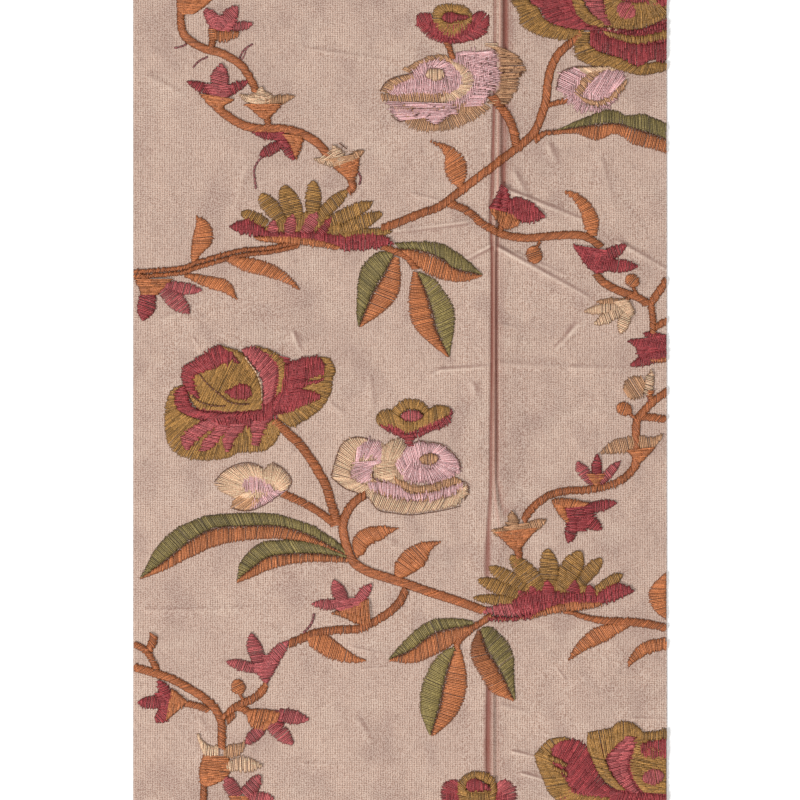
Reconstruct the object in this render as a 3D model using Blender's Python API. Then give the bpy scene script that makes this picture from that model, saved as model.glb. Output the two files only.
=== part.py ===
"""A cut length of embroidered silk lying flat on a surface, with one long pinched crease.

The cloth is one sheet. Its satin stitches lie on it and add nothing that a maker would cut
or fit, so the sheet is one solid, as thick as the silk and its stitches together.
Metres, +Z up. +X runs across the cloth and +Y along it, and the origin is on the surface
that the cloth lies on, under the middle of the sheet.
"""

import math
from collections import namedtuple

import bmesh
import bpy

MM = 0.001

# Driving dimensions of the sheet
CLOTH_WIDTH = 160.0 * MM
CLOTH_LENGTH = 243.0 * MM
SHEET_THICKNESS = 1.0 * MM

# The long crease: a narrow ridge of pinched cloth between two grooves, on a low swell
RIDGE_HEIGHT = 1.0 * MM
RIDGE_HALF_WIDTH = 0.9 * MM
GROOVE_DEPTH = 0.55 * MM
GROOVE_HALF_WIDTH = 1.0 * MM
GROOVE_OFFSET = 1.3 * MM
SWELL_HEIGHT = 0.7 * MM
SWELL_HALF_WIDTH = 11.0 * MM

# How the sheet is divided before it is lifted into its folds
ROW_STEP = 5.0 * MM
COLUMN_STEP = 5.5 * MM
CREASE_COLUMNS = tuple(MM * offset for offset in (0.0, 0.5, 0.9, 1.3, 1.8, 2.4, 4.0, 7.0, 11.0))
REFINE_REACH = 4.5 * MM

# Where the crease runs: place along the cloth, place across it, and how tightly it is pinched
CreasePoint = namedtuple("CreasePoint", "along across pinch")
CREASE = (
    CreasePoint(121.5 * MM, 29.7 * MM, 1.00),
    CreasePoint(60.0 * MM, 28.8 * MM, 1.00),
    CreasePoint(45.0 * MM, 28.1 * MM, 1.00),
    CreasePoint(0.0 * MM, 28.2 * MM, 1.00),
    CreasePoint(-24.0 * MM, 27.6 * MM, 0.80),
    CreasePoint(-45.0 * MM, 26.7 * MM, 0.45),
    CreasePoint(-62.0 * MM, 26.1 * MM, 0.25),
    CreasePoint(-86.0 * MM, 26.1 * MM, 0.70),
    CreasePoint(-112.0 * MM, 26.7 * MM, 0.55),
    CreasePoint(-121.5 * MM, 27.0 * MM, 0.30),
)
CREASE_MEAN = sum(point.across for point in CREASE) / len(CREASE)

# Puckers that run off the crease and the other straight wrinkles, from one end to the other
Pucker = namedtuple("Pucker", "x0 y0 x1 y1 height half_width")
PUCKERS = (
    Pucker(30.5 * MM, 63.5 * MM, 55.5 * MM, 53.5 * MM, 0.50 * MM, 2.2 * MM),
    Pucker(29.5 * MM, 45.5 * MM, 56.0 * MM, 31.0 * MM, 0.70 * MM, 2.2 * MM),
    Pucker(27.0 * MM, 46.0 * MM, 17.5 * MM, 41.0 * MM, 0.45 * MM, 2.0 * MM),
    Pucker(20.0 * MM, 53.5 * MM, -2.0 * MM, 50.0 * MM, 0.40 * MM, 2.0 * MM),
    Pucker(66.0 * MM, 47.0 * MM, 79.0 * MM, 39.5 * MM, 0.45 * MM, 2.0 * MM),
    Pucker(8.5 * MM, 8.0 * MM, 27.0 * MM, 10.0 * MM, 0.40 * MM, 2.0 * MM),
    Pucker(30.0 * MM, 11.0 * MM, 67.0 * MM, 9.0 * MM, 0.40 * MM, 2.4 * MM),
    Pucker(33.0 * MM, -105.0 * MM, 43.0 * MM, -107.0 * MM, 0.40 * MM, 1.8 * MM),
)

# Low swells where the cloth stands a little off the surface
Swell = namedtuple("Swell", "x y half_x half_y height")
SWELLS = (
    Swell(52.0 * MM, 48.0 * MM, 26.0 * MM, 24.0 * MM, 0.70 * MM),
    Swell(8.0 * MM, 88.0 * MM, 20.0 * MM, 22.0 * MM, 0.50 * MM),
    Swell(-52.0 * MM, 8.0 * MM, 24.0 * MM, 30.0 * MM, 0.55 * MM),
    Swell(-20.0 * MM, -62.0 * MM, 30.0 * MM, 18.0 * MM, 0.50 * MM),
    Swell(58.0 * MM, -92.0 * MM, 24.0 * MM, 22.0 * MM, 0.60 * MM),
)

SILK_COLOUR = (0.55, 0.39, 0.31, 1.0)
SILK_ROUGHNESS = 0.55


def clear_scene():
    """Removes whatever the file opened with."""
    for item in list(bpy.data.objects):
        bpy.data.objects.remove(item, do_unlink=True)


def bump(distance, half_width):
    """A smooth hump: 1 on its line, 0 from its half width on."""
    if abs(distance) >= half_width:
        return 0.0
    return 0.5 + 0.5 * math.cos(math.pi * distance / half_width)


def crease_value(along, field):
    """One column of the crease's table at a place along the cloth, eased between its rows."""
    for upper, lower in zip(CREASE, CREASE[1:]):
        if along >= lower.along:
            share = min(1.0, (upper.along - along) / (upper.along - lower.along))
            eased = share * share * (3.0 - 2.0 * share)
            return getattr(upper, field) + eased * (getattr(lower, field) - getattr(upper, field))
    return getattr(CREASE[-1], field)


def pucker_distance(pucker, x, y):
    """How far a place is from a pucker's line, and how far along the line it is, from 0 to 1."""
    run_x = pucker.x1 - pucker.x0
    run_y = pucker.y1 - pucker.y0
    share = ((x - pucker.x0) * run_x + (y - pucker.y0) * run_y) / (run_x**2 + run_y**2)
    share = max(0.0, min(1.0, share))
    return math.hypot(x - pucker.x0 - share * run_x, y - pucker.y0 - share * run_y), share


def crease_lift(x, y):
    """The pinched ridge, its two grooves and the swell that carries them."""
    pinch = crease_value(y, "pinch")
    distance = x - crease_value(y, "across")
    ridge = RIDGE_HEIGHT * bump(distance, RIDGE_HALF_WIDTH)
    grooves = GROOVE_DEPTH * (
        bump(distance - GROOVE_OFFSET, GROOVE_HALF_WIDTH)
        + bump(distance + GROOVE_OFFSET, GROOVE_HALF_WIDTH)
    )
    return pinch * (SWELL_HEIGHT * bump(distance, SWELL_HALF_WIDTH) + ridge - grooves)


def pucker_lift(x, y):
    """The puckers, each one fading out towards its far end."""
    total = 0.0
    for pucker in PUCKERS:
        distance, share = pucker_distance(pucker, x, y)
        total += pucker.height * (1.0 - 0.7 * share) * bump(distance, pucker.half_width)
    return total


def swell_lift(x, y):
    """The low swells."""
    total = 0.0
    for swell in SWELLS:
        reach = math.hypot((x - swell.x) / swell.half_x, (y - swell.y) / swell.half_y)
        total += swell.height * bump(reach, 1.0)
    return total


def lift(x, y):
    """How far the underside stands off the surface: nothing where the cloth lies flat."""
    return max(0.0, crease_lift(x, y) + pucker_lift(x, y) + swell_lift(x, y))


def column_distances():
    """Distances from the crease to the grid's columns: close together beside it, even beyond."""
    last = CREASE_COLUMNS[-1]
    left_room = CREASE_MEAN + CLOTH_WIDTH / 2 - last
    right_room = CLOTH_WIDTH / 2 - CREASE_MEAN - last
    columns = [0.0]
    for side, room in ((-1.0, left_room), (1.0, right_room)):
        count = round(room / COLUMN_STEP)
        columns += [side * offset for offset in CREASE_COLUMNS[1:]]
        columns += [side * (last + room * step / count) for step in range(1, count + 1)]
    return sorted(columns)


def place_across(distance, y):
    """Where a column lies across the cloth: it follows the crease, and the outermost are straight."""
    crease = crease_value(y, "across")
    if distance < 0.0:
        return crease + distance * (crease + CLOTH_WIDTH / 2) / (CREASE_MEAN + CLOTH_WIDTH / 2)
    return crease + distance * (CLOTH_WIDTH / 2 - crease) / (CLOTH_WIDTH / 2 - CREASE_MEAN)


def near_a_pucker(vertex):
    """True if a vertex lies close enough to a pucker to need smaller faces."""
    return any(
        pucker_distance(pucker, vertex.co.x, vertex.co.y)[0] < REFINE_REACH for pucker in PUCKERS
    )


def spread_grid(mesh):
    """A flat grid the size of the cloth, with its columns along the crease."""
    columns = column_distances()
    across = len(columns) - 1
    along = round(CLOTH_LENGTH / ROW_STEP)
    bmesh.ops.create_grid(mesh, x_segments=across, y_segments=along, size=0.5)
    for vertex in mesh.verts:
        y = vertex.co.y * CLOTH_LENGTH
        column = round((vertex.co.x + 0.5) * across)
        vertex.co = (place_across(columns[column], y), y, 0.0)
    close = [edge for edge in mesh.edges if all(near_a_pucker(end) for end in edge.verts)]
    bmesh.ops.subdivide_edges(mesh, edges=close, cuts=1, use_grid_fill=True)


def silk_material():
    """Pale rose-beige silk."""
    material = bpy.data.materials.new("silk_ground")
    material.use_nodes = True
    shader = material.node_tree.nodes["Principled BSDF"]
    shader.inputs["Base Color"].default_value = SILK_COLOUR
    shader.inputs["Roughness"].default_value = SILK_ROUGHNESS
    shader.inputs["Metallic"].default_value = 0.0
    return material


def make_silk_cloth(collection):
    """The sheet: a grid lifted into its folds and given its thickness."""
    mesh = bmesh.new()
    spread_grid(mesh)
    for vertex in mesh.verts:
        vertex.co.z = lift(vertex.co.x, vertex.co.y)
    raised = bmesh.ops.extrude_face_region(mesh, geom=mesh.faces[:], use_keep_orig=True)
    upper = [item for item in raised["geom"] if isinstance(item, bmesh.types.BMVert)]
    bmesh.ops.translate(mesh, verts=upper, vec=(0.0, 0.0, SHEET_THICKNESS))
    bmesh.ops.triangulate(mesh, faces=mesh.faces[:])
    bmesh.ops.recalc_face_normals(mesh, faces=mesh.faces[:])
    data = bpy.data.meshes.new("silk_cloth")
    mesh.to_mesh(data)
    mesh.free()
    data.shade_smooth()
    data.set_sharp_from_angle(angle=math.radians(50.0))
    data.materials.append(silk_material())
    cloth = bpy.data.objects.new("silk_cloth", data)
    collection.objects.link(cloth)
    return cloth


def main():
    clear_scene()
    collection = bpy.data.collections.new("embroidered_silk")
    bpy.context.scene.collection.children.link(collection)
    make_silk_cloth(collection)


main()
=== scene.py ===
"""The looks of a cut length of embroidered silk: the woven ground in its folds, and each stitch on it.

A place on the cloth is written in pattern units of PX metres, as on a pattern sheet: x to the right
of its left edge and y down from its top edge. The folds are in millimetres and all else in metres,
+Z up, with the origin on the surface under the middle of the cloth.
"""

import math
from collections import namedtuple

import bmesh
import bpy
import numpy as np
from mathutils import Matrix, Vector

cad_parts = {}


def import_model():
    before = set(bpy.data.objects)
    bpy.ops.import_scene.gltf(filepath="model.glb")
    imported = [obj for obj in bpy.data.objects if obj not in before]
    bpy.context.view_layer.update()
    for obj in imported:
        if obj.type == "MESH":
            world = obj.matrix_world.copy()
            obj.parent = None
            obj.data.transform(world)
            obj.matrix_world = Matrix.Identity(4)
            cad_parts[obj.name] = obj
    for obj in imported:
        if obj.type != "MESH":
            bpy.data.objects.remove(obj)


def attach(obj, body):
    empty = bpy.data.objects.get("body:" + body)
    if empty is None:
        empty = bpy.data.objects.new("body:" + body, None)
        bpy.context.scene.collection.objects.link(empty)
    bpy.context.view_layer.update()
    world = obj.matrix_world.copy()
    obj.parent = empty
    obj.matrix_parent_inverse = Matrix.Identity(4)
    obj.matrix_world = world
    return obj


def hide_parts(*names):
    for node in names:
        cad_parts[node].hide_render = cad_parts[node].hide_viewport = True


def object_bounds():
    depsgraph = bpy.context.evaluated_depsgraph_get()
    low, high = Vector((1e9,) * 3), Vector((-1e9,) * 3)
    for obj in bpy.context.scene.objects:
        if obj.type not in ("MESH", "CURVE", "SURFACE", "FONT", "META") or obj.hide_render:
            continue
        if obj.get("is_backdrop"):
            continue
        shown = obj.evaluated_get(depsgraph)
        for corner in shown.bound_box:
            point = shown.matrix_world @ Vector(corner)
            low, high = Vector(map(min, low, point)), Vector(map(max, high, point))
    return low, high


MM = 0.001
PX = 0.3 * MM
PATTERN_WIDTH = 800
PATTERN_MIDDLE = PATTERN_WIDTH / 2

# The sheet, as part.py has it, and the thinner cloth that lies on its folds
CLOTH_WIDTH = 160.0 * MM
CLOTH_LENGTH = 243.0 * MM
SILK_THICKNESS = 0.35 * MM
RIDGE_HEIGHT = 0.85 * MM
GROOVE_DEPTH = 0.55 * MM
GROOVE_HALF_WIDTH = 0.85 * MM
SWELL_HEIGHT = 0.7 * MM
SWELL_HALF_WIDTH = 11.0 * MM

# The crease's two grooves in pattern units: where each runs, how deep it is pinched, from 0
# to 1, and how wide its line of painted red-brown shade is
CreasePoint = namedtuple("CreasePoint", "y left left_pinch left_width right right_pinch right_width")
CREASE = (
    CreasePoint(-6, 495.0, 0.65, 2.8, 505.0, 0.90, 6.6),
    CreasePoint(40, 494.8, 0.65, 2.8, 505.0, 0.90, 6.8),
    CreasePoint(88, 494.4, 0.80, 2.6, 504.2, 0.85, 6.8),
    CreasePoint(112, 493.9, 0.95, 2.7, 503.0, 0.62, 8.0),
    CreasePoint(140, 493.2, 1.00, 2.8, 503.4, 0.55, 8.4),
    CreasePoint(166, 492.8, 0.85, 3.8, 502.8, 0.85, 5.6),
    CreasePoint(186, 492.4, 0.85, 4.2, 503.2, 0.85, 4.6),
    CreasePoint(200, 491.2, 0.90, 3.0, 502.2, 0.75, 3.2),
    CreasePoint(214, 490.4, 0.85, 2.6, 498.4, 0.60, 2.4),
    CreasePoint(250, 491.9, 1.00, 2.5, 496.8, 0.70, 2.5),
    CreasePoint(268, 492.0, 1.00, 2.6, 496.3, 0.80, 2.7),
    CreasePoint(360, 491.9, 1.00, 2.6, 496.4, 0.80, 2.8),
    CreasePoint(440, 491.0, 0.85, 2.9, 496.8, 0.75, 2.9),
    CreasePoint(481, 490.8, 0.85, 2.9, 497.0, 0.55, 2.6),
    CreasePoint(506, 489.8, 0.75, 3.2, 502.0, 0.55, 2.2),
    CreasePoint(520, 488.8, 0.75, 3.6, 508.0, 0.45, 2.2),
    CreasePoint(545, 487.9, 0.90, 5.0, 512.0, 0.10, 2.0),
    CreasePoint(570, 487.3, 0.80, 5.6, 505.0, 0.10, 2.0),
    CreasePoint(600, 487.8, 0.15, 2.4, 497.0, 0.05, 2.0),
    CreasePoint(655, 488.0, 0.20, 2.6, 494.6, 0.10, 2.0),
    CreasePoint(690, 488.4, 0.95, 5.2, 496.4, 0.25, 4.8),
    CreasePoint(745, 487.6, 1.00, 6.4, 496.6, 0.26, 5.2),
    CreasePoint(771, 488.0, 0.90, 5.8, 496.8, 0.25, 5.0),
    CreasePoint(806, 490.5, 0.50, 3.2, 496.4, 0.12, 2.0),
)

# A painted soft shade to the right of the right groove, and a painted paler pink line along the
# crease's ridge between the two
BESIDE_SHADE = 0.22
BESIDE_OFFSET = 1.1 * MM
BESIDE_HALF_WIDTH = 2.4 * MM
GLOW_HALF_WIDTH = 0.6 * MM

# Puckers and straight wrinkles in millimetres, and how much painted shade darkens their shaded side
Pucker = namedtuple("Pucker", "x0 y0 x1 y1 height half_width dark")
PUCKERS = (
    Pucker(30.5, 63.5, 55.5, 53.5, 0.50, 1.8, 0.8),
    Pucker(29.5, 45.5, 56.0, 31.0, 0.70, 1.8, 0.8),
    Pucker(27.0, 46.0, 17.5, 41.0, 0.45, 1.6, 0.7),
    Pucker(20.0, 53.2, -2.0, 50.4, 0.40, 1.5, 0.6),
    Pucker(66.0, 47.0, 79.0, 39.5, 0.45, 1.8, 0.6),
    Pucker(9.2, 7.6, 12.4, 8.9, 0.20, 1.3, 0.3),
    Pucker(12.4, 8.9, 26.0, 9.8, 0.35, 1.7, 0.6),
    Pucker(30.5, 10.6, 52.0, 9.6, 0.35, 2.2, 0.2),
    Pucker(52.0, 9.6, 66.0, 9.2, 0.30, 2.0, 0.3),
    Pucker(30.5, 22.5, 34.5, 21.6, 0.25, 1.5, 0.3),
    Pucker(34.4, 67.6, 38.0, 61.0, 0.30, 2.6, 0.5),
    Pucker(44.5, 76.0, 46.5, 71.5, 0.30, 2.8, 0.5),
    Pucker(35.0, 44.0, 49.0, 37.5, 0.30, 1.4, 0.4),
    Pucker(34.2, -105.6, 39.6, -106.9, 0.30, 1.3, 0.9),
    Pucker(36.9, -112.2, 42.6, -113.8, 0.30, 1.4, 1.0),
    Pucker(70.2, -95.6, 79.0, -95.9, 0.25, 1.2, 0.4),
    Pucker(47.7, -81.6, 49.4, -83.9, 0.25, 1.2, 0.5),
    Pucker(-13.8, -74.4, -3.9, -76.6, 0.25, 1.3, 0.3),
    Pucker(-10.5, -80.8, -3.9, -80.2, 0.22, 1.2, 0.3),
    Pucker(-28.5, -109.3, -17.4, -109.6, 0.22, 1.4, 0.2),
    Pucker(-75.6, -63.2, -44.0, -62.6, 0.22, 1.6, 0.2),
    Pucker(-12.4, -96.5, -8.8, -102.5, 0.25, 2.6, 0.3),
    Pucker(-60.2, -95.8, -58.2, -99.8, 0.22, 2.2, 0.3),
    Pucker(-26.0, 105.0, -4.0, 101.8, 0.28, 1.6, 0.2),
    Pucker(3.5, 61.8, 22.0, 57.0, 0.22, 1.3, 0.2),
    Pucker(-32.0, 19.6, -30.6, 15.8, 0.28, 2.2, 0.8),
    Pucker(-61.8, 18.2, -60.6, 16.2, 0.22, 1.2, 0.4),
    Pucker(-9.2, 6.6, -8.6, -0.6, 0.25, 2.2, 0.3),
    Pucker(-71.5, 24.0, -57.0, 29.8, 0.22, 1.8, 0.2),
    Pucker(30.6, -91.8, 38.5, -94.1, 0.32, 2.0, 0.3),
    Pucker(47.0, 15.6, 55.5, 24.2, 0.30, 2.0, 0.4),
    Pucker(51.0, 20.2, 53.0, 22.8, 0.22, 2.2, 0.8),
    Pucker(21.5, 4.6, 22.6, 1.6, 0.25, 3.2, 0.5),
    Pucker(-20.5, -1.5, -17.0, -4.5, 0.30, 2.0, 0.3),
    Pucker(-75.0, 96.5, -66.0, 92.0, 0.28, 2.2, 0.2),
    Pucker(-46.0, 70.0, -49.5, 58.0, 0.26, 2.4, 0.2),
    Pucker(-12.0, 62.0, -22.0, 52.0, 0.26, 2.2, 0.2),
    Pucker(60.0, 72.0, 64.0, 58.0, 0.30, 2.6, 0.2),
    Pucker(-8.0, -40.0, 4.0, -47.0, 0.26, 2.4, 0.2),
)

# Painted shade and painted light along a pucker's two sides: each one's middle and half width as
# shares of the pucker's half width
SideTone = namedtuple("SideTone", "middle half_width strength")
SHADED_SIDE = SideTone(0.40, 0.42, 1.7)
LIT_SIDE = SideTone(-0.12, 0.40, 1.2)
PUCKER_END = 1.5 * MM
PUCKER_FALL = 0.7
TONE_FALL = 0.5

# Low swells where the cloth stands a little off the surface, in millimetres
Swell = namedtuple("Swell", "x y half_x half_y height")
SWELLS = (
    Swell(52.0, 48.0, 26.0, 24.0, 0.70),
    Swell(8.0, 88.0, 20.0, 22.0, 0.50),
    Swell(-52.0, 8.0, 24.0, 30.0, 0.55),
    Swell(-20.0, -62.0, 30.0, 18.0, 0.50),
    Swell(58.0, -92.0, 24.0, 22.0, 0.60),
)

# Thread colours as they look in daylight, and darker colours that paint shade at a stitch's sides and
# ends and deepen its twist and grain (red, green, blue from 0 to 255), and how much they vary
Thread = namedtuple("Thread", "colour dark vary")
THREADS = {
    "stem": Thread((180, 104, 60), (82, 42, 22), 0.28),
    "rust": Thread((198, 120, 72), (88, 42, 22), 0.30),
    "green": Thread((140, 123, 70), (50, 38, 24), 0.38),
    "olive": Thread((176, 129, 66), (70, 42, 22), 0.34),
    "crimson": Thread((163, 61, 65), (74, 20, 22), 0.36),
    "rose": Thread((188, 92, 93), (90, 32, 36), 0.34),
    "lilac": Thread((235, 182, 182), (120, 80, 82), 0.26),
    "cream": Thread((234, 192, 158), (128, 92, 66), 0.24),
    "tan": Thread((206, 154, 114), (96, 62, 38), 0.28),
    "umber": Thread((118, 74, 52), (76, 42, 28), 0.15),
    "mulberry": Thread((150, 88, 88), (90, 48, 50), 0.16),
}

chance = np.random.default_rng(7)


def place(points):
    """Pattern units to metres on the cloth."""
    x, y = points[..., 0], points[..., 1]
    return np.stack(((x - PATTERN_MIDDLE) * PX, (PATTERN_MIDDLE - y) * PX), -1)


def hump(distance, half_width):
    """A smooth hump: 1 on its line, 0 from its half width on."""
    share = np.clip(np.abs(distance) / half_width, 0.0, 1.0)
    return 0.5 + 0.5 * np.cos(math.pi * share)


# The folds


def crease_at(y, *fields):
    """Columns of the crease's table at places along the cloth. Places and widths come in metres."""
    down = PATTERN_MIDDLE - np.asarray(y) / PX
    rows = [point.y for point in CREASE]
    values = []
    for field in fields:
        column = np.interp(down, rows, [getattr(point, field) for point in CREASE])
        if field in ("left", "right"):
            column = column - PATTERN_MIDDLE
        values.append(column if field.endswith("pinch") else column * PX)
    return values


def pucker_reach(pucker, x, y):
    """Distance from a pucker's line, the share along it, and the distance to its left."""
    run_x, run_y = (pucker.x1 - pucker.x0) * MM, (pucker.y1 - pucker.y0) * MM
    from_x, from_y = x - pucker.x0 * MM, y - pucker.y0 * MM
    share = np.clip((from_x * run_x + from_y * run_y) / (run_x**2 + run_y**2), 0.0, 1.0)
    side = (from_y * run_x - from_x * run_y) / math.hypot(run_x, run_y)
    return np.hypot(from_x - share * run_x, from_y - share * run_y), share, side


def lift(x, y):
    """How far the cloth's underside stands off the surface."""
    fields = ("left", "left_pinch", "right", "right_pinch")
    left, left_pinch, right, right_pinch = crease_at(y, *fields)
    middle = (left + right) / 2
    pinch = (left_pinch + right_pinch) / 2
    ridge = RIDGE_HEIGHT * hump(x - middle, (right - left) / 2)
    total = pinch * (SWELL_HEIGHT * hump(x - middle, SWELL_HALF_WIDTH) + ridge)
    for groove, depth in ((left, left_pinch), (right, right_pinch)):
        total = total - GROOVE_DEPTH * depth * hump(x - groove, GROOVE_HALF_WIDTH)
    for pucker in PUCKERS:
        distance, share, _ = pucker_reach(pucker, x, y)
        height = pucker.height * MM * (1 - PUCKER_FALL * share)
        total = total + height * hump(distance, pucker.half_width * MM)
    for swell in SWELLS:
        reach = np.hypot((x / MM - swell.x) / swell.half_x, (y / MM - swell.y) / swell.half_y)
        total = total + swell.height * MM * hump(reach, 1.0)
    return np.maximum(0.0, total)


def groove_shade(x, y):
    """How much painted shade darkens the cloth in the crease's grooves and beside them, from 0 to 1."""
    left, left_pinch, left_width = crease_at(y, "left", "left_pinch", "left_width")
    right, right_pinch, right_width = crease_at(y, "right", "right_pinch", "right_width")
    grooves = left_pinch * hump(x - left, left_width) + right_pinch * hump(x - right, right_width)
    beside = np.minimum(left_pinch, right_pinch) * hump(x - right - BESIDE_OFFSET, BESIDE_HALF_WIDTH)
    return np.clip(grooves + BESIDE_SHADE * beside, 0.0, 1.0)


def painted_ridge_tint(x, y):
    """The painted pink line along the crease's ridge between the grooves, paler than their painted
    shade, from 0 to 1.
    """
    fields = ("left", "left_pinch", "right", "right_pinch")
    left, left_pinch, right, right_pinch = crease_at(y, *fields)
    return np.minimum(left_pinch, right_pinch) * hump(x - (left + right) / 2, GLOW_HALF_WIDTH)


def pucker_tone(x, y, tone):
    """The shaded or the lit side of every pucker, from 0 to 1."""
    total = 0.0
    for pucker in PUCKERS:
        distance, share, side = pucker_reach(pucker, x, y)
        width = pucker.half_width * MM
        on_line = hump(side - tone.middle * width, tone.half_width * width)
        past_end = np.sqrt(np.maximum(distance**2 - side**2, 0.0))
        strength = tone.strength * pucker.dark * (1 - TONE_FALL * share)
        total = total + strength * hump(past_end, PUCKER_END) * on_line
    return np.clip(total, 0.0, 1.0)


# Curves of the pattern

CURVE_STEP = 0.5
CURVE_PIECES = 14
OUTLINE_POINTS = 40
OVAL_POINTS = 32


def curve(points):
    """A smooth line through the points, in even steps."""
    points = np.asarray(points, dtype=float)
    dense = points
    if len(points) > 2:
        padded = np.vstack((2 * points[0] - points[1], points, 2 * points[-1] - points[-2]))
        share = np.linspace(0.0, 1.0, CURVE_PIECES, endpoint=False)[:, None]
        pieces = []
        for before, start, end, after in zip(padded, padded[1:], padded[2:], padded[3:]):
            bend = 2 * before - 5 * start + 4 * end - after
            turn = 3 * start - before - 3 * end + after
            pieces.append(start + 0.5 * share * (end - before + share * (bend + share * turn)))
        dense = np.vstack(pieces + [points[-1:]])
    run = np.concatenate(([0.0], np.cumsum(np.hypot(*np.diff(dense, axis=0).T))))
    even = np.linspace(0.0, run[-1], max(3, int(run[-1] / CURVE_STEP) + 1))
    return np.stack((np.interp(even, run, dense[:, 0]), np.interp(even, run, dense[:, 1])), -1)


def length_of(line):
    return float(np.hypot(*np.diff(line, axis=0).T).sum())


def at(line, share):
    """Points on a line at shares of its length."""
    ruler = np.linspace(0.0, 1.0, len(line))
    share = np.clip(share, 0.0, 1.0)
    return np.stack((np.interp(share, ruler, line[:, 0]), np.interp(share, ruler, line[:, 1])), -1)


def normals_of(line):
    """The direction to one side of a line, at each of its points."""
    run = np.gradient(line, axis=0)
    run /= np.maximum(1e-9, np.hypot(run[:, 0], run[:, 1]))[:, None]
    return np.stack((-run[:, 1], run[:, 0]), -1)


def petal_sides(base, tip, width, belly, foot, blunt):
    """Both sides of a petal: widest at belly, foot of that width at its base, blunt below 1."""
    base, tip = np.asarray(base, dtype=float), np.asarray(tip, dtype=float)
    share = np.linspace(0.0, 1.0, OUTLINE_POINTS)
    middle = base + share[:, None] * (tip - base)
    swell = np.sin(math.pi * share ** (math.log(0.5) / math.log(belly))) ** blunt
    swell = np.where(share < belly, foot + (1.0 - foot) * swell, swell)
    offset = (width / 2 * swell)[:, None] * normals_of(middle)
    return middle + offset, middle - offset


def oval_sides(x, y, half_x, half_y, turn):
    """The two long halves of an oval's edge, turned by an angle in degrees."""
    angle = np.linspace(0.0, math.pi, OVAL_POINTS)
    cos, sin = math.cos(math.radians(turn)), math.sin(math.radians(turn))
    along, rise = half_x * np.cos(angle), half_y * np.sin(angle)
    upper = np.stack((x + along * cos + rise * sin, y + along * sin - rise * cos), -1)
    lower = np.stack((x + along * cos - rise * sin, y + along * sin + rise * cos), -1)
    return upper, lower


# Stitches. Their lengths and widths are in pattern units, their heights in metres

THREAD_PITCH = 1.60
THREAD_FULLNESS = 0.47
PITCH_UNEVEN = 0.12
SHORTEST_STITCH = 1.1
LONGEST_STITCH = 17.0
OVERLAP = 0.9
BREAK_UNEVEN = 0.16

# A stitch's tone: how far it strays, the share of pale ones, and its limits
TONE_SPREAD = 0.55
PALE_SHARE = 0.05
PALE_GAIN = 0.30
DARKEST, PALEST = 0.58, 1.45
DRIFT = 0.04
DRIFT_LENGTH = 23.0
PETAL_FADE = (-0.20, 0.06)

# Heights: each layer of stitches over the last, a fill's dome, and a stitch's own arch
LEVEL_STEP = 0.10 * MM
UNEVEN = 0.040 * MM
DOME_LEAST = 0.10 * MM
DOME_SLOPE = 0.030 * MM
DOME_WIDEST = 9.0
STEM_DOME = 0.42 * MM
OWN_ARCH = 0.12 * MM
LINE_ARCH = 0.10 * MM
DASH_ARCH = 0.16 * MM

# Slants are shares of a fill's width. The lower a petal's bluntness, the rounder its tip
PETAL_SLANT = 0.15
STEM_SLANT = 0.75
STEM_RAGGED = 0.5
BLUNT = {"olive": 0.52}
PLAIN_BLUNT = 0.72
LINE_STITCH = 4.0
DASH_LENGTH = 3.6
DASH_SHORTEST = 0.5
DASH_WIDTH = 0.6
DASH_LEAN = 0.3
DASH_LEVEL = 6
DASH_TONE = -0.1

# Each thread's stitches: both ends, the shares across the fill where they lie, the fill's dome, the
# stitch's own arch, its layer's height, half its width, and its tone
stitches = {name: [] for name in THREADS}


def sew(thread, start, end, across=(0.0, 1.0), dome=0.0, own=OWN_ARCH, level=0,
        half=THREAD_PITCH * THREAD_FULLNESS, tone=0.0):
    """Lays one stitch from each start to its end."""
    count = len(start)
    if count == 0:
        return
    shade = 1.0 + tone + THREADS[thread].vary * chance.normal(0.0, TONE_SPREAD, count)
    shade = np.clip(shade + PALE_GAIN * (chance.random(count) < PALE_SHARE), DARKEST, PALEST)
    height = level * LEVEL_STEP + chance.normal(0.0, UNEVEN, count)
    columns = (*start.T, *end.T, *across, dome, own, height, half * PX, shade)
    full = [np.broadcast_to(np.asarray(column, dtype=float), (count,)) for column in columns]
    stitches[thread].append(np.stack(full, -1))


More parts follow.
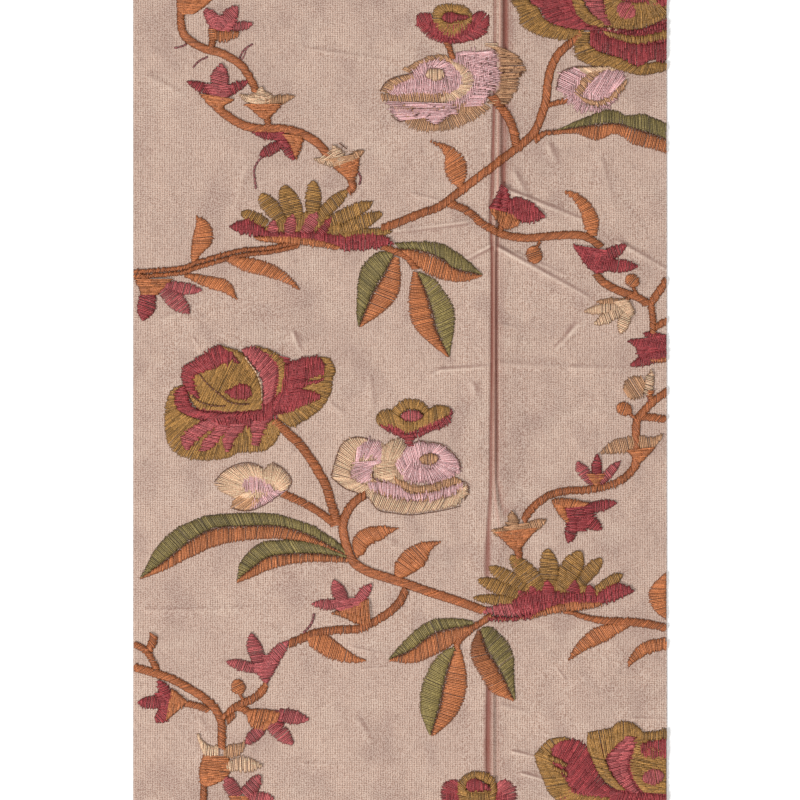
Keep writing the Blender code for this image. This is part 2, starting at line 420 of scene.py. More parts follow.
def satin(thread, side_a, side_b, pitch=THREAD_PITCH, slant=0.0, level=0, ragged=0.6, tone=0.0,
          thin=1.0, dome=None, longest=LONGEST_STITCH, fade=(0.0, 0.0)):
    """Fills the shape between two sides with side by side stitches, broken where they are too long.

    Fade is what the tone gains at each end of the sides. Without a dome, a wider fill stands higher.
    """
    a, b = curve(side_a), curve(side_b)
    run = max(length_of(a), length_of(b))
    count = max(2, int(run / pitch))
    share = (np.arange(count) + 0.5) / count + chance.normal(0.0, PITCH_UNEVEN, count) / count
    start, end = at(a, share - slant / 2 / run), at(b, share + slant / 2 / run)
    reach = end - start
    width = np.hypot(reach[:, 0], reach[:, 1])
    keep = width > SHORTEST_STITCH
    start, reach, width, share = start[keep], reach[keep], width[keep], share[keep]
    unit = reach / width[:, None]
    start = start - unit * np.abs(chance.normal(0.0, ragged, len(start)))[:, None]
    reach = reach + unit * np.abs(chance.normal(0.0, ragged, len(start)))[:, None]
    rise = DOME_LEAST + DOME_SLOPE * np.minimum(width, DOME_WIDEST)
    if dome is not None:
        rise = np.full(len(width), dome)
    tones = tone + DRIFT * np.sin(share * run / DRIFT_LENGTH) + fade[0] + (fade[1] - fade[0]) * share
    parts = np.maximum(1, np.ceil(width / longest)).astype(int)
    for total in np.unique(parts):
        mine = parts == total
        breaks = [np.zeros(mine.sum())]
        for step in range(1, total):
            breaks.append(step / total + chance.uniform(-BREAK_UNEVEN, BREAK_UNEVEN, mine.sum()))
        breaks.append(np.ones(mine.sum()))
        lap = OVERLAP / width[mine]
        for low, high in zip(breaks, breaks[1:]):
            low, high = np.where(low > 0.0, low - lap, low), np.where(high < 1.0, high + lap, high)
            first = start[mine] + reach[mine] * low[:, None]
            last = start[mine] + reach[mine] * high[:, None]
            sew(thread, first, last, (low, high), rise[mine], level=level,
                half=pitch * THREAD_FULLNESS * thin, tone=tones[mine])


def stem(centre, width):
    """A rounded cord of slanting stitches over a centre line. Width is one value or several."""
    line = curve(centre)
    places = np.linspace(0, 1, len(line))
    widths = np.interp(places, np.linspace(0, 1, np.size(width)), np.ravel(width))
    offset = normals_of(line) * (widths / 2)[:, None]
    satin("stem", line + offset, line - offset, slant=STEM_SLANT * float(np.mean(widths)), level=1,
          ragged=STEM_RAGGED, dome=STEM_DOME)


def running(line, width, thread="umber", level=0):
    """A thin line of stitches end to end."""
    line = curve(line)
    count = max(1, round(length_of(line) / LINE_STITCH))
    points = at(line, np.arange(count + 1) / count)
    sew(thread, points[:-1], points[1:], own=LINE_ARCH, level=level, half=width / 2)


def dashes(thread, first, second, count):
    """Short stitches strewn between two sides, along the cloth's breadth."""
    a, b = curve(first), curve(second)
    depth = chance.uniform(0.0, 1.0, (count, 1))
    share = chance.uniform(0.0, 1.0, count)
    middle = at(a, share) * (1.0 - depth) + at(b, share) * depth
    reach = chance.uniform(DASH_SHORTEST, 1.0, count) * DASH_LENGTH / 2
    half = np.stack((reach, chance.normal(0.0, DASH_LEAN, count)), -1)
    sew(thread, middle - half, middle + half, own=DASH_ARCH, level=DASH_LEVEL, half=DASH_WIDTH / 2,
        tone=DASH_TONE)


def petal(thread, base, tip, width, level, belly, foot):
    """A petal, stitched from side to side and darker at its foot."""
    left, right = petal_sides(base, tip, width, belly, foot, BLUNT.get(thread, PLAIN_BLUNT))
    satin(thread, left, right, slant=PETAL_SLANT * width, level=level, fade=PETAL_FADE)


# A stitch's shape: rings along it, each of five sides, thinner at both ends
SIDES = 5
RING_SHARES = np.array((0.0, 0.14, 0.38, 0.62, 0.86, 1.0))
RING_SWELL = np.array((0.70, 0.95, 1.0, 1.0, 0.95, 0.70))
THREAD_HALF_DEPTH = 0.13 * MM
CUT_MARGIN = 0.15 * MM
SHORTEST_SHARE = 0.08

# How a stitch's ends dip into the cloth, more so at the fill's edge, how far in from the fill's edge
# painted shade reaches and how much it darkens a stitch's ends, and how layers lie over others
DIP = 0.03 * MM
EDGE_DIP = 0.09 * MM
EDGE_SHADE = 1.8
END_SHADE = 0.30
END_ARCH = 1.3
LEAST_ACROSS = 0.05
HIGH_LAYER = 0.55 * MM
HIGH_END, LOW_END = 0.85, 0.35


def one_stitch():
    """A straight stitch: its corners as (side, up, ring along it), and its faces."""
    tube = bmesh.new()
    bmesh.ops.create_cone(tube, cap_ends=True, segments=SIDES, radius1=1.0, radius2=1.0, depth=1.0)
    long_edges = [edge for edge in tube.edges if abs(edge.verts[0].co.z - edge.verts[1].co.z) > 0.5]
    steps = len(RING_SHARES) - 1
    bmesh.ops.subdivide_edges(tube, edges=long_edges, cuts=steps - 1, use_grid_fill=True)
    tube.verts.index_update()
    corners = np.array([vertex.co for vertex in tube.verts])
    rings = np.rint((corners[:, 2] + 0.5) * steps).astype(int)
    faces = [[vertex.index for vertex in face.verts] for face in tube.faces]
    tube.free()
    return corners[:, 0], corners[:, 1], rings, faces


def clip_to_cloth(start, end):
    """Which stitches lie on the cloth, and from which share to which: they stop at its cut edges."""
    low, high = np.zeros(len(start)), np.ones(len(start))
    for axis, size in enumerate((CLOTH_WIDTH, CLOTH_LENGTH)):
        limit = size / 2 - CUT_MARGIN
        run = end[:, axis] - start[:, axis]
        run = np.where(np.abs(run) < 1e-12, 1e-12, run)
        first, second = (-limit - start[:, axis]) / run, (limit - start[:, axis]) / run
        low = np.maximum(low, np.minimum(first, second))
        high = np.minimum(high, np.maximum(first, second))
    return (high - low) > SHORTEST_SHARE, low, high


def stitch_mesh(name, rows):
    """One mesh of all the stitches of a thread, each bent over the cloth's folds."""
    side, up, ring, faces = one_stitch()
    start, end = place(rows[:, 0:2]), place(rows[:, 2:4])
    keep, low, high = clip_to_cloth(start, end)
    rows, start, reach = rows[keep], start[keep], (end - start)[keep]
    low, high = low[keep, None], high[keep, None]
    ua, ub, dome, own, height, half, shade = rows[:, 4:].T[:, :, None]
    start_x, start_y = start.T[:, :, None]
    reach_x, reach_y = reach.T[:, :, None]
    length = np.hypot(reach_x, reach_y)

    share = low + (high - low) * RING_SHARES
    x, y = start_x + reach_x * share, start_y + reach_y * share
    across = np.clip(ua + (ub - ua) * share, 0.0, 1.0)
    arch = np.sqrt(np.maximum(0.0, np.sin(math.pi * np.clip(share, 0.0, 1.0))))
    fill_width = length / np.maximum(ub - ua, LEAST_ACROSS) / PX
    outer = np.clip(1.0 - fill_width * np.minimum(across, 1.0 - across) / EDGE_SHADE, 0.0, 1.0)
    rise = dome * np.sqrt(np.maximum(0.0, np.sin(math.pi * across))) + own * arch
    rise = rise - (DIP + EDGE_DIP * outer) * (1 - arch)
    layer = height * np.minimum(1.0, np.where(height > HIGH_LAYER, HIGH_END, LOW_END) + arch)
    z = lift(x, y) + SILK_THICKNESS + layer + rise

    wide = (half / length) * RING_SWELL[ring] * side
    px, py = x[:, ring] - reach_y * wide, y[:, ring] + reach_x * wide
    pz = z[:, ring] + THREAD_HALF_DEPTH * RING_SWELL[ring] * up
    corners = np.arange(len(rows))[:, None] * len(ring) + np.concatenate(faces)
    sizes = np.tile([len(face) for face in faces], len(rows))

    data = bpy.data.meshes.new(name)
    data.vertices.add(px.size)
    data.vertices.foreach_set("co", np.stack((px, py, pz), -1).ravel())
    data.loops.add(corners.size)
    data.loops.foreach_set("vertex_index", corners.ravel().astype(np.int32))
    data.polygons.add(len(sizes))
    data.polygons.foreach_set("loop_start", (np.cumsum(sizes) - sizes).astype(np.int32))
    data.update(calc_edges=True)
    # painted shade at a stitch's ends and along the fill's edge, read by the material as 'tip'
    ends = np.maximum(outer, END_SHADE * (1.0 - np.minimum(1.0, arch * END_ARCH)))
    set_attribute(data, "shade", np.broadcast_to(shade, px.shape))
    set_attribute(data, "tip", ends[:, ring])
    turns = data.uv_layers.new(name="thread")
    along = (share * length)[:, ring] / MM
    around = np.broadcast_to(side, px.shape)
    uv = np.stack((along.ravel(), around.ravel()), -1)[corners.ravel()]
    turns.data.foreach_set("uv", uv.ravel())
    data.shade_smooth()
    return data


def set_attribute(data, name, values):
    """Gives each vertex a number that its material reads."""
    values = np.ravel(values).astype(np.float32)
    data.attributes.new(name, "FLOAT", "POINT").data.foreach_set("value", values)


# The pattern, from its trailing stems on, in pattern units
Stem = namedtuple("Stem", "name width points")
STEMS = (
    Stem("top left vine", 8.0,
        ((181, 12), (181, 24), (184, 35), (192, 42), (205, 49), (218, 52), (229, 57), (240, 64),
         (247, 73), (254, 86), (256, 94))),
    Stem("lily vine", 8.6,
        ((212, 101), (219, 109), (229, 117), (243, 125), (260, 129), (283, 129), (300, 133), (315, 141),
         (325, 151), (327, 158))),
    Stem("cream lily stalk", 6.5, ((266, 114), (269, 128))),
    Stem("lily stalk, top left", 6.5, ((213, 39), (211, 50))),
    Stem("second lily stalk", 8.0, ((350, 177), (353, 186), (348, 193))),
    Stem("left stem, upper strand", 4.6,
        ((132, 272), (180, 268), (197, 262), (226, 254), (243, 250), (269, 248), (284, 245),
         (300, 242))),
    Stem("left stem, lower strand", 4.6,
        ((132, 277), (180, 273), (198, 267), (227, 259), (244, 255), (269, 252), (285, 249),
         (300, 245))),
    Stem("top right rose stem", 8.5,
        ((582, 32), (577, 39), (567, 46), (558, 55), (552, 66), (549, 76), (547, 90), (546, 101),
         (543, 111), (539, 123), (533, 134), (520, 146), (508, 155), (495, 165), (475, 180), (458, 193),
         (439, 207), (417, 215), (400, 222), (380, 230))),
    Stem("top right bud branch", 5.5, ((547, 105), (568, 100))),
    Stem("top pink flower stem", 9.0, ((491, 95), (500, 106), (509, 119), (514, 132), (517, 148))),
    Stem("wave to the right", 8.0,
        ((449, 203), (462, 208), (473, 215), (480, 222), (490, 228), (505, 235), (526, 238), (551, 236),
         (572, 235), (587, 237), (602, 248))),
    Stem("right stem, falling", 8.0,
        ((596, 273), (602, 281), (613, 288), (625, 293), (637, 297), (650, 305))),
    Stem("right stem, cut arm", 8.0, ((649, 306), (657, 294), (667, 279))),
    Stem("right stem, hanging arm", 7.0, ((651, 303), (653, 320), (653, 338))),
    Stem("right stem, side arm", 7.0, ((655, 327), (668, 320))),
    Stem("right stem, stub", 5.0, ((630, 297), (622, 304))),
    Stem("right vine", 8.0,
        ((668, 391), (655, 400), (645, 410), (638, 419), (636, 428), (636, 460), (633, 469), (623, 479),
         (608, 486), (587, 490), (567, 491), (551, 495), (539, 502), (529, 512), (523, 523))),
    Stem("right vine, branch", 8.0, ((640, 416), (668, 419))),
    Stem("tan lily stalk", 8.0, ((517, 545), (519, 556), (514, 566))),
    Stem("rose stem", 9.5,
        ((272, 421), (278, 424), (290, 435), (304, 449), (324, 481), (332, 505), (339, 527))),
    Stem("bud stem", 8.0, ((282, 493), (304, 503), (322, 514), (337, 526))),
    Stem("flower stem", 9.0,
        ((367, 494), (357, 500), (349, 509), (343, 525), (346, 544), (353, 561), (367, 571), (382, 576),
         (398, 581), (413, 586), (430, 592), (455, 600), (486, 611))),
    Stem("right lower stem", (2.5, 5.0, 7.0, 8.0, 8.5, 8.5, 8.5, 8.5),
        ((563, 612), (573, 613), (583, 616), (600, 620), (616, 621), (633, 622), (650, 624),
         (668, 628))),
    Stem("leaf stalk", 7.0, ((492, 615), (479, 624), (469, 631), (459, 641), (456, 650))),
    Stem("middle branch", 8.7,
        ((407, 588), (399, 603), (387, 614), (372, 623), (357, 629), (336, 630), (316, 633), (301, 639),
         (288, 644))),
    Stem("bottom left vine", 8.5,
        ((132, 666), (152, 672), (170, 678), (187, 687), (203, 697), (215, 708), (221, 720), (222, 732),
         (222, 750))),
    Stem("bottom left vine, foot", 7.0, ((204, 782), (204, 806))),
    Stem("left lily branch", 7.0, ((210, 711), (198, 706), (185, 703))),
    Stem("fork to the lily", (4.0, 8.0, 8.5, 8.5, 7.0),
        ((221, 719), (235, 707), (247, 701), (259, 694), (267, 682))),
    Stem("open flower, left rim", 2.6, ((490, 617), (505, 619), (520, 618), (537, 614))),
    Stem("lower lily stalk", (6.5, 7.0, 8.5), ((233, 707), (241, 708), (252, 713))),
    Stem("fork arm, cut", 7.0, ((132, 643), (141, 647), (148, 652))),
    Stem("fork arm, short", 8.5, ((154, 633), (153, 642), (149, 651))),
    Stem("fork stalk", 7.0, ((146, 648), (152, 659), (157, 670))),
    Stem("lily stalk, left", 7.0, ((236, 714), (226, 722))),
    Stem("upper trio stalk", 7.0, ((382, 246), (397, 252), (407, 257), (417, 270))),
    Stem("berry stalk, top right", 3.6, ((534, 252), (540, 241))),
    Stem("berry stalk, right", 3.6, ((632, 284), (636, 294))),
    Stem("berry stalk, vine", 3.6, ((628, 412), (637, 420))),
    Stem("berry stalk, bottom left", 3.6, ((239, 690), (244, 702))),
    Stem("short stalk, left edge", 6.0, ((137, 274), (148, 280))),
    Stem("cup flower's stalk, top", 6.0, ((446, 42), (450, 50), (453, 60))),
    Stem("hanging lily stalk", 7.0, ((290, 128), (294, 136))),
    Stem("crossing lily stalk", 6.0, ((503, 217), (500, 232))),
    Stem("top right leaf stalk", (7.0, 5.5, 4.5, 3.5),
        ((534, 141), (543, 134), (553, 132), (568, 131))),
    Stem("twig to the cream lily", 4.5, ((650, 390), (650, 400))),
)

# Leaves in two colours: the green half, the rib, and the orange half. Tones are added to each half's
# stitches, and one leaf's orange half starts darker
TwoToneLeaf = namedtuple("TwoToneLeaf", "name green_tone orange_tone green rib orange")
DARK_START = {"lower trio, right": (-0.54, 0.34)}
TWO_TONE_LEAVES = (
    TwoToneLeaf("long leaf", -0.03, -0.10,
        ((140, 578), (145, 569), (156, 548), (171, 532), (189, 522), (211, 515), (240, 513), (269, 513),
         (291, 518), (313, 526), (328, 535), (340, 544), (346, 554)),
        ((140, 578), (153, 570), (174, 554), (196, 537), (218, 528), (247, 526), (277, 526), (299, 531),
         (321, 541), (346, 555)),
        ((140, 579), (152, 575), (167, 569), (189, 558), (211, 548), (233, 542), (262, 539), (284, 539),
         (306, 542), (335, 551), (346, 556))),
    TwoToneLeaf("second leaf", -0.08, -0.04,
        ((237, 580), (240, 563), (250, 550), (262, 542), (277, 540), (299, 540), (318, 544), (335, 551),
         (347, 556)), ((237, 580), (255, 566), (269, 557), (291, 554), (321, 554), (348, 558)),
        ((237, 583), (255, 576), (269, 570), (291, 564), (313, 562), (335, 562), (350, 562))),
    TwoToneLeaf("top right leaf", -0.07, -0.05,
        ((563, 128), (577, 121), (597, 113), (608, 110), (618, 111), (625, 115), (642, 114), (654, 118),
         (668, 124)), ((554, 131), (567, 129), (597, 125), (618, 124), (638, 130), (668, 140)),
        ((554, 135), (562, 134), (577, 134), (593, 140), (602, 139), (613, 134), (623, 137), (634, 145),
         (649, 148), (668, 154))),
    TwoToneLeaf("upper trio, right", -0.04, 0.04,
        ((395, 243), (412, 242), (431, 242), (443, 244), (455, 251), (467, 260), (482, 275)),
        ((399, 249), (416, 250), (431, 254), (445, 261), (455, 269), (482, 275)),
        ((405, 254), (416, 265), (428, 274), (440, 279), (455, 282), (467, 281), (482, 276))),
    TwoToneLeaf("upper trio, left", 0.04, 0.12,
        ((390, 252), (378, 252), (368, 259), (361, 269), (358, 282), (357, 300), (357, 316),
         (359, 327)), ((394, 255), (383, 277), (372, 296), (359, 327)),
        ((399, 259), (401, 279), (399, 292), (392, 304), (378, 316), (360, 327))),
    TwoToneLeaf("upper trio, down", 0.26, 0.08,
        ((420, 272), (436, 280), (445, 292), (452, 303), (455, 316), (454, 330), (449, 357)),
        ((417, 272), (423, 286), (429, 301), (433, 316), (437, 332), (449, 357)),
        ((413, 272), (409, 292), (409, 306), (411, 321), (418, 332), (431, 344), (448, 357))),
    TwoToneLeaf("lower trio, left", 0.02, -0.03,
        ((389, 659), (398, 648), (412, 633), (424, 624), (435, 619), (449, 618), (463, 619),
         (474, 622)), ((389, 659), (408, 652), (422, 642), (435, 633), (454, 628), (474, 625)),
        ((390, 661), (408, 663), (422, 661), (435, 655), (445, 650), (459, 639), (473, 628))),
    TwoToneLeaf("lower trio, down", 0.46, 0.16,
        ((453, 647), (445, 650), (435, 659), (428, 670), (422, 685), (420, 700), (421, 714),
         (430, 735)), ((456, 647), (448, 669), (443, 690), (440, 706), (431, 735)),
        ((461, 650), (466, 669), (467, 683), (465, 697), (457, 714), (445, 727), (432, 736))),
    TwoToneLeaf("lower trio, right", 0.00, -0.02,
        ((483, 627), (492, 627), (504, 637), (511, 648), (514, 660), (514, 674), (515, 700)),
        ((480, 629), (486, 648), (495, 663), (503, 677), (514, 700)),
        ((477, 631), (471, 646), (472, 660), (478, 672), (485, 683), (491, 692), (503, 697),
         (514, 701))),
)

# Plain orange leaves, by their two sides
Leaf = namedtuple("Leaf", "name upper lower")
LEAVES = (
    Leaf("above the left stem", ((193, 215), (197, 219), (193, 236), (191, 253), (192, 264)),
        ((194, 215), (201, 217), (210, 224), (214, 234), (212, 244), (203, 253), (194, 264))),
    Leaf("below the left stem",
        ((184, 274), (198, 274), (214, 277), (225, 279), (233, 286), (237, 299)),
        ((185, 277), (198, 284), (210, 289), (222, 292), (230, 296), (236, 300))),
    Leaf("right of the left stem", ((232, 258), (251, 258), (272, 264), (287, 274), (300, 289)),
        ((226, 262), (245, 272), (262, 276), (282, 282), (299, 290))),
    Leaf("on the rose stem",
        ((462, 187), (466, 177), (467, 166), (463, 156), (452, 147), (440, 143), (430, 141)),
        ((459, 188), (449, 181), (444, 170), (445, 160), (443, 152), (438, 147), (430, 142))),
    Leaf("beyond the crease", ((564, 191), (574, 192), (587, 200), (595, 210), (599, 221), (597, 236)),
        ((564, 193), (570, 197), (577, 207), (582, 218), (584, 228), (590, 236))),
    Leaf("by the flower stem, left", ((356, 556), (352, 542), (359, 531), (374, 526), (398, 528)),
        ((358, 558), (365, 553), (370, 545), (382, 540), (392, 533), (398, 529))),
    Leaf("by the flower stem, right", ((397, 581), (394, 566), (402, 553), (418, 543), (441, 541)),
        ((400, 580), (412, 574), (425, 565), (431, 551), (441, 542))),
    Leaf("below the middle branch",
        ((306, 636), (318, 632), (329, 635), (341, 645), (355, 655), (366, 660)),
        ((307, 641), (313, 649), (327, 658), (341, 662), (357, 663), (366, 661))),
    Leaf("right lower, upper", ((628, 623), (610, 624), (596, 627), (585, 635), (575, 646), (568, 660)),
        ((630, 627), (620, 633), (604, 643), (587, 650), (575, 657), (568, 660))),
    Leaf("right lower, edge", ((628, 667), (629, 658), (637, 647), (649, 640), (668, 637)),
        ((629, 667), (633, 664), (641, 658), (654, 652), (668, 650))),
    Leaf("right edge, cut", ((668, 571), (654, 583), (649, 592), (650, 603), (657, 613), (668, 620)),
        ((672, 571), (670, 583), (668, 592), (668, 603), (669, 613), (672, 620))),
)

# Petals stitched from side to side. Belly is the share of the length where a petal is widest, and
# spread the share of its width at the foot
Petal = namedtuple("Petal", "thread x y tip_x tip_y width level belly spread")
PETALS = (
    # the open flower on the left stem, from left to right
    Petal("olive", 267, 224, 241, 213, 14, 1, 0.55, 0.60),
    Petal("olive", 283, 221, 260, 195, 17, 2, 0.60, 0.60),
    Petal("olive", 297, 221, 283, 186, 21, 1, 0.50, 0.55),
    Petal("olive", 313, 214, 313, 181, 17, 2, 0.48, 0.45),
    Petal("olive", 316, 220, 347, 190, 14, 1, 0.55, 0.60),
    Petal("olive", 322, 226, 372, 202, 15, 2, 0.55, 0.60),
    Petal("olive", 330, 236, 382, 213, 17, 1, 0.50, 0.60),
    Petal("olive", 340, 236, 392, 231, 11, 2, 0.50, 0.60),
    Petal("rose", 273, 238, 273, 220, 13, 3, 0.45, 0.70),
    Petal("rose", 289, 238, 292, 214, 14, 4, 0.50, 0.60),
    Petal("rose", 303, 238, 316, 212, 16, 3, 0.60, 0.70),
    Petal("crimson", 316, 240, 331, 217, 11, 4, 0.50, 0.70),
    # the open flower on the right lower stem, from left to right
    Petal("olive", 521, 602, 473, 598, 11, 1, 0.50, 0.60),
    Petal("olive", 518, 594, 478, 580, 15, 2, 0.50, 0.70),
    Petal("olive", 525, 588, 489, 567, 16, 1, 0.50, 0.70),
    Petal("olive", 541, 588, 510, 556, 20, 2, 0.45, 0.60),
    Petal("olive", 550, 588, 547, 549, 20, 1, 0.50, 0.45),
    Petal("olive", 560, 590, 580, 551, 22, 2, 0.55, 0.40),
    Petal("olive", 578, 585, 601, 558, 15, 1, 0.55, 0.55),
    Petal("olive", 593, 592, 622, 574, 12, 2, 0.60, 0.45),
    Petal("crimson", 532, 605, 517, 591, 13, 3, 0.50, 0.80),
    Petal("crimson", 541, 604, 529, 586, 15, 3, 0.45, 0.80),
    Petal("crimson", 550, 602, 546, 580, 15, 4, 0.50, 0.70),
    Petal("crimson", 572, 603, 574, 580, 17, 3, 0.45, 0.75),
    Petal("crimson", 591, 603, 589, 585, 14, 4, 0.50, 0.80),
    # lily at the top left
    Petal("rose", 218, 27, 205, 9, 13, 2, 0.50, 0.80),
    Petal("rose", 221, 27, 237, 6, 15, 3, 0.55, 0.60),
    Petal("rose", 233, 28, 253, 23, 10, 2, 0.45, 0.70),
    # second lily
    Petal("crimson", 216, 93, 187, 82, 11, 2, 0.45, 0.80),
    Petal("rose", 218, 95, 221, 64, 19, 3, 0.50, 0.55),
    Petal("crimson", 221, 95, 249, 80, 11, 2, 0.45, 0.80),
    # hanging lily
    Petal("crimson", 285, 138, 252, 133, 9, 2, 0.50, 0.80),
    Petal("crimson", 284, 142, 260, 156, 12, 3, 0.60, 0.60),
    Petal("crimson", 283, 142, 295, 160, 11, 2, 0.50, 0.60),
    # lily at the left edge
    Petal("crimson", 150, 288, 144, 321, 19, 2, 0.55, 0.55),
    Petal("rose", 163, 289, 190, 313, 18, 3, 0.50, 0.55),
    Petal("rose", 165, 286, 202, 290, 13, 2, 0.50, 0.55),
    # lily on the falling stem
    Petal("crimson", 602, 258, 626, 245, 13, 2, 0.50, 0.70),
    Petal("crimson", 600, 265, 638, 266, 14, 3, 0.50, 0.70),
    # lily at the right edge
    Petal("crimson", 668, 346, 627, 342, 11, 2, 0.55, 0.80),
    Petal("crimson", 668, 352, 630, 366, 12, 3, 0.55, 0.80),
    Petal("crimson", 668, 340, 643, 334, 10, 2, 0.55, 0.80),
    # lilies on the right vine
    Petal("rose", 593, 484, 576, 462, 12, 2, 0.55, 0.70),
    Petal("crimson", 596, 483, 597, 454, 11, 3, 0.50, 0.70),
    Petal("rose", 599, 483, 620, 461, 10, 2, 0.50, 0.75),
    Petal("crimson", 584, 509, 617, 502, 12, 2, 0.50, 0.80),
    Petal("crimson", 580, 516, 602, 529, 14, 3, 0.50, 0.80),
    Petal("crimson", 574, 517, 569, 543, 13, 2, 0.55, 0.70),
    # lily on the middle branch
    Petal("rose", 342, 605, 312, 604, 11, 2, 0.50, 0.80),
    Petal("rose", 345, 605, 333, 580, 15, 3, 0.50, 0.60),
    Petal("rose", 355, 605, 371, 583, 12, 2, 0.50, 0.70),
    # lilies at the bottom left
    Petal("rose", 258, 669, 226, 662, 12, 2, 0.50, 0.80),
    Petal("rose", 261, 668, 250, 633, 16, 3, 0.50, 0.60),
    Petal("rose", 265, 668, 288, 640, 14, 2, 0.50, 0.70),
    Petal("rose", 274, 714, 309, 719, 15, 2, 0.50, 0.70),
    Petal("rose", 270, 722, 293, 744, 16, 3, 0.50, 0.70),
    Petal("rose", 264, 726, 246, 744, 13, 2, 0.55, 0.60),
    Petal("crimson", 168, 702, 138, 703, 14, 2, 0.55, 0.70),
    Petal("crimson", 171, 702, 158, 680, 12, 3, 0.50, 0.70),
    Petal("crimson", 170, 706, 157, 723, 14, 2, 0.55, 0.70),
    Petal("rose", 238, 796, 224, 777, 15, 2, 0.50, 0.80),
    Petal("rose", 245, 795, 260, 775, 15, 3, 0.50, 0.80),
    Petal("rose", 250, 796, 274, 798, 12, 2, 0.50, 0.80),
    # pale lilies
    Petal("cream", 260, 104, 239, 95, 8, 2, 0.50, 0.80),
    Petal("cream", 259, 105, 261, 87, 15, 3, 0.40, 0.90),
    Petal("tan", 262, 103, 295, 96, 10, 2, 0.50, 0.80),
    Petal("cream", 343, 166, 314, 159, 8, 2, 0.50, 0.80),
    Petal("cream", 344, 166, 332, 146, 13, 3, 0.50, 0.80),
    Petal("tan", 345, 163, 364, 150, 9, 2, 0.50, 0.80),
    Petal("cream", 628, 305, 584, 312, 11, 2, 0.55, 0.60),
    Petal("cream", 627, 307, 594, 325, 12, 3, 0.55, 0.60),
    Petal("cream", 628, 307, 621, 334, 13, 2, 0.55, 0.60),
    Petal("tan", 627, 302, 596, 302, 8, 1, 0.50, 0.60),
    Petal("cream", 647, 395, 651, 370, 10, 3, 0.50, 0.60),
    Petal("tan", 514, 535, 491, 531, 10, 2, 0.50, 0.80),
    Petal("tan", 514, 535, 511, 511, 13, 3, 0.50, 0.80),
    Petal("tan", 520, 534, 546, 519, 12, 2, 0.50, 0.80),
)

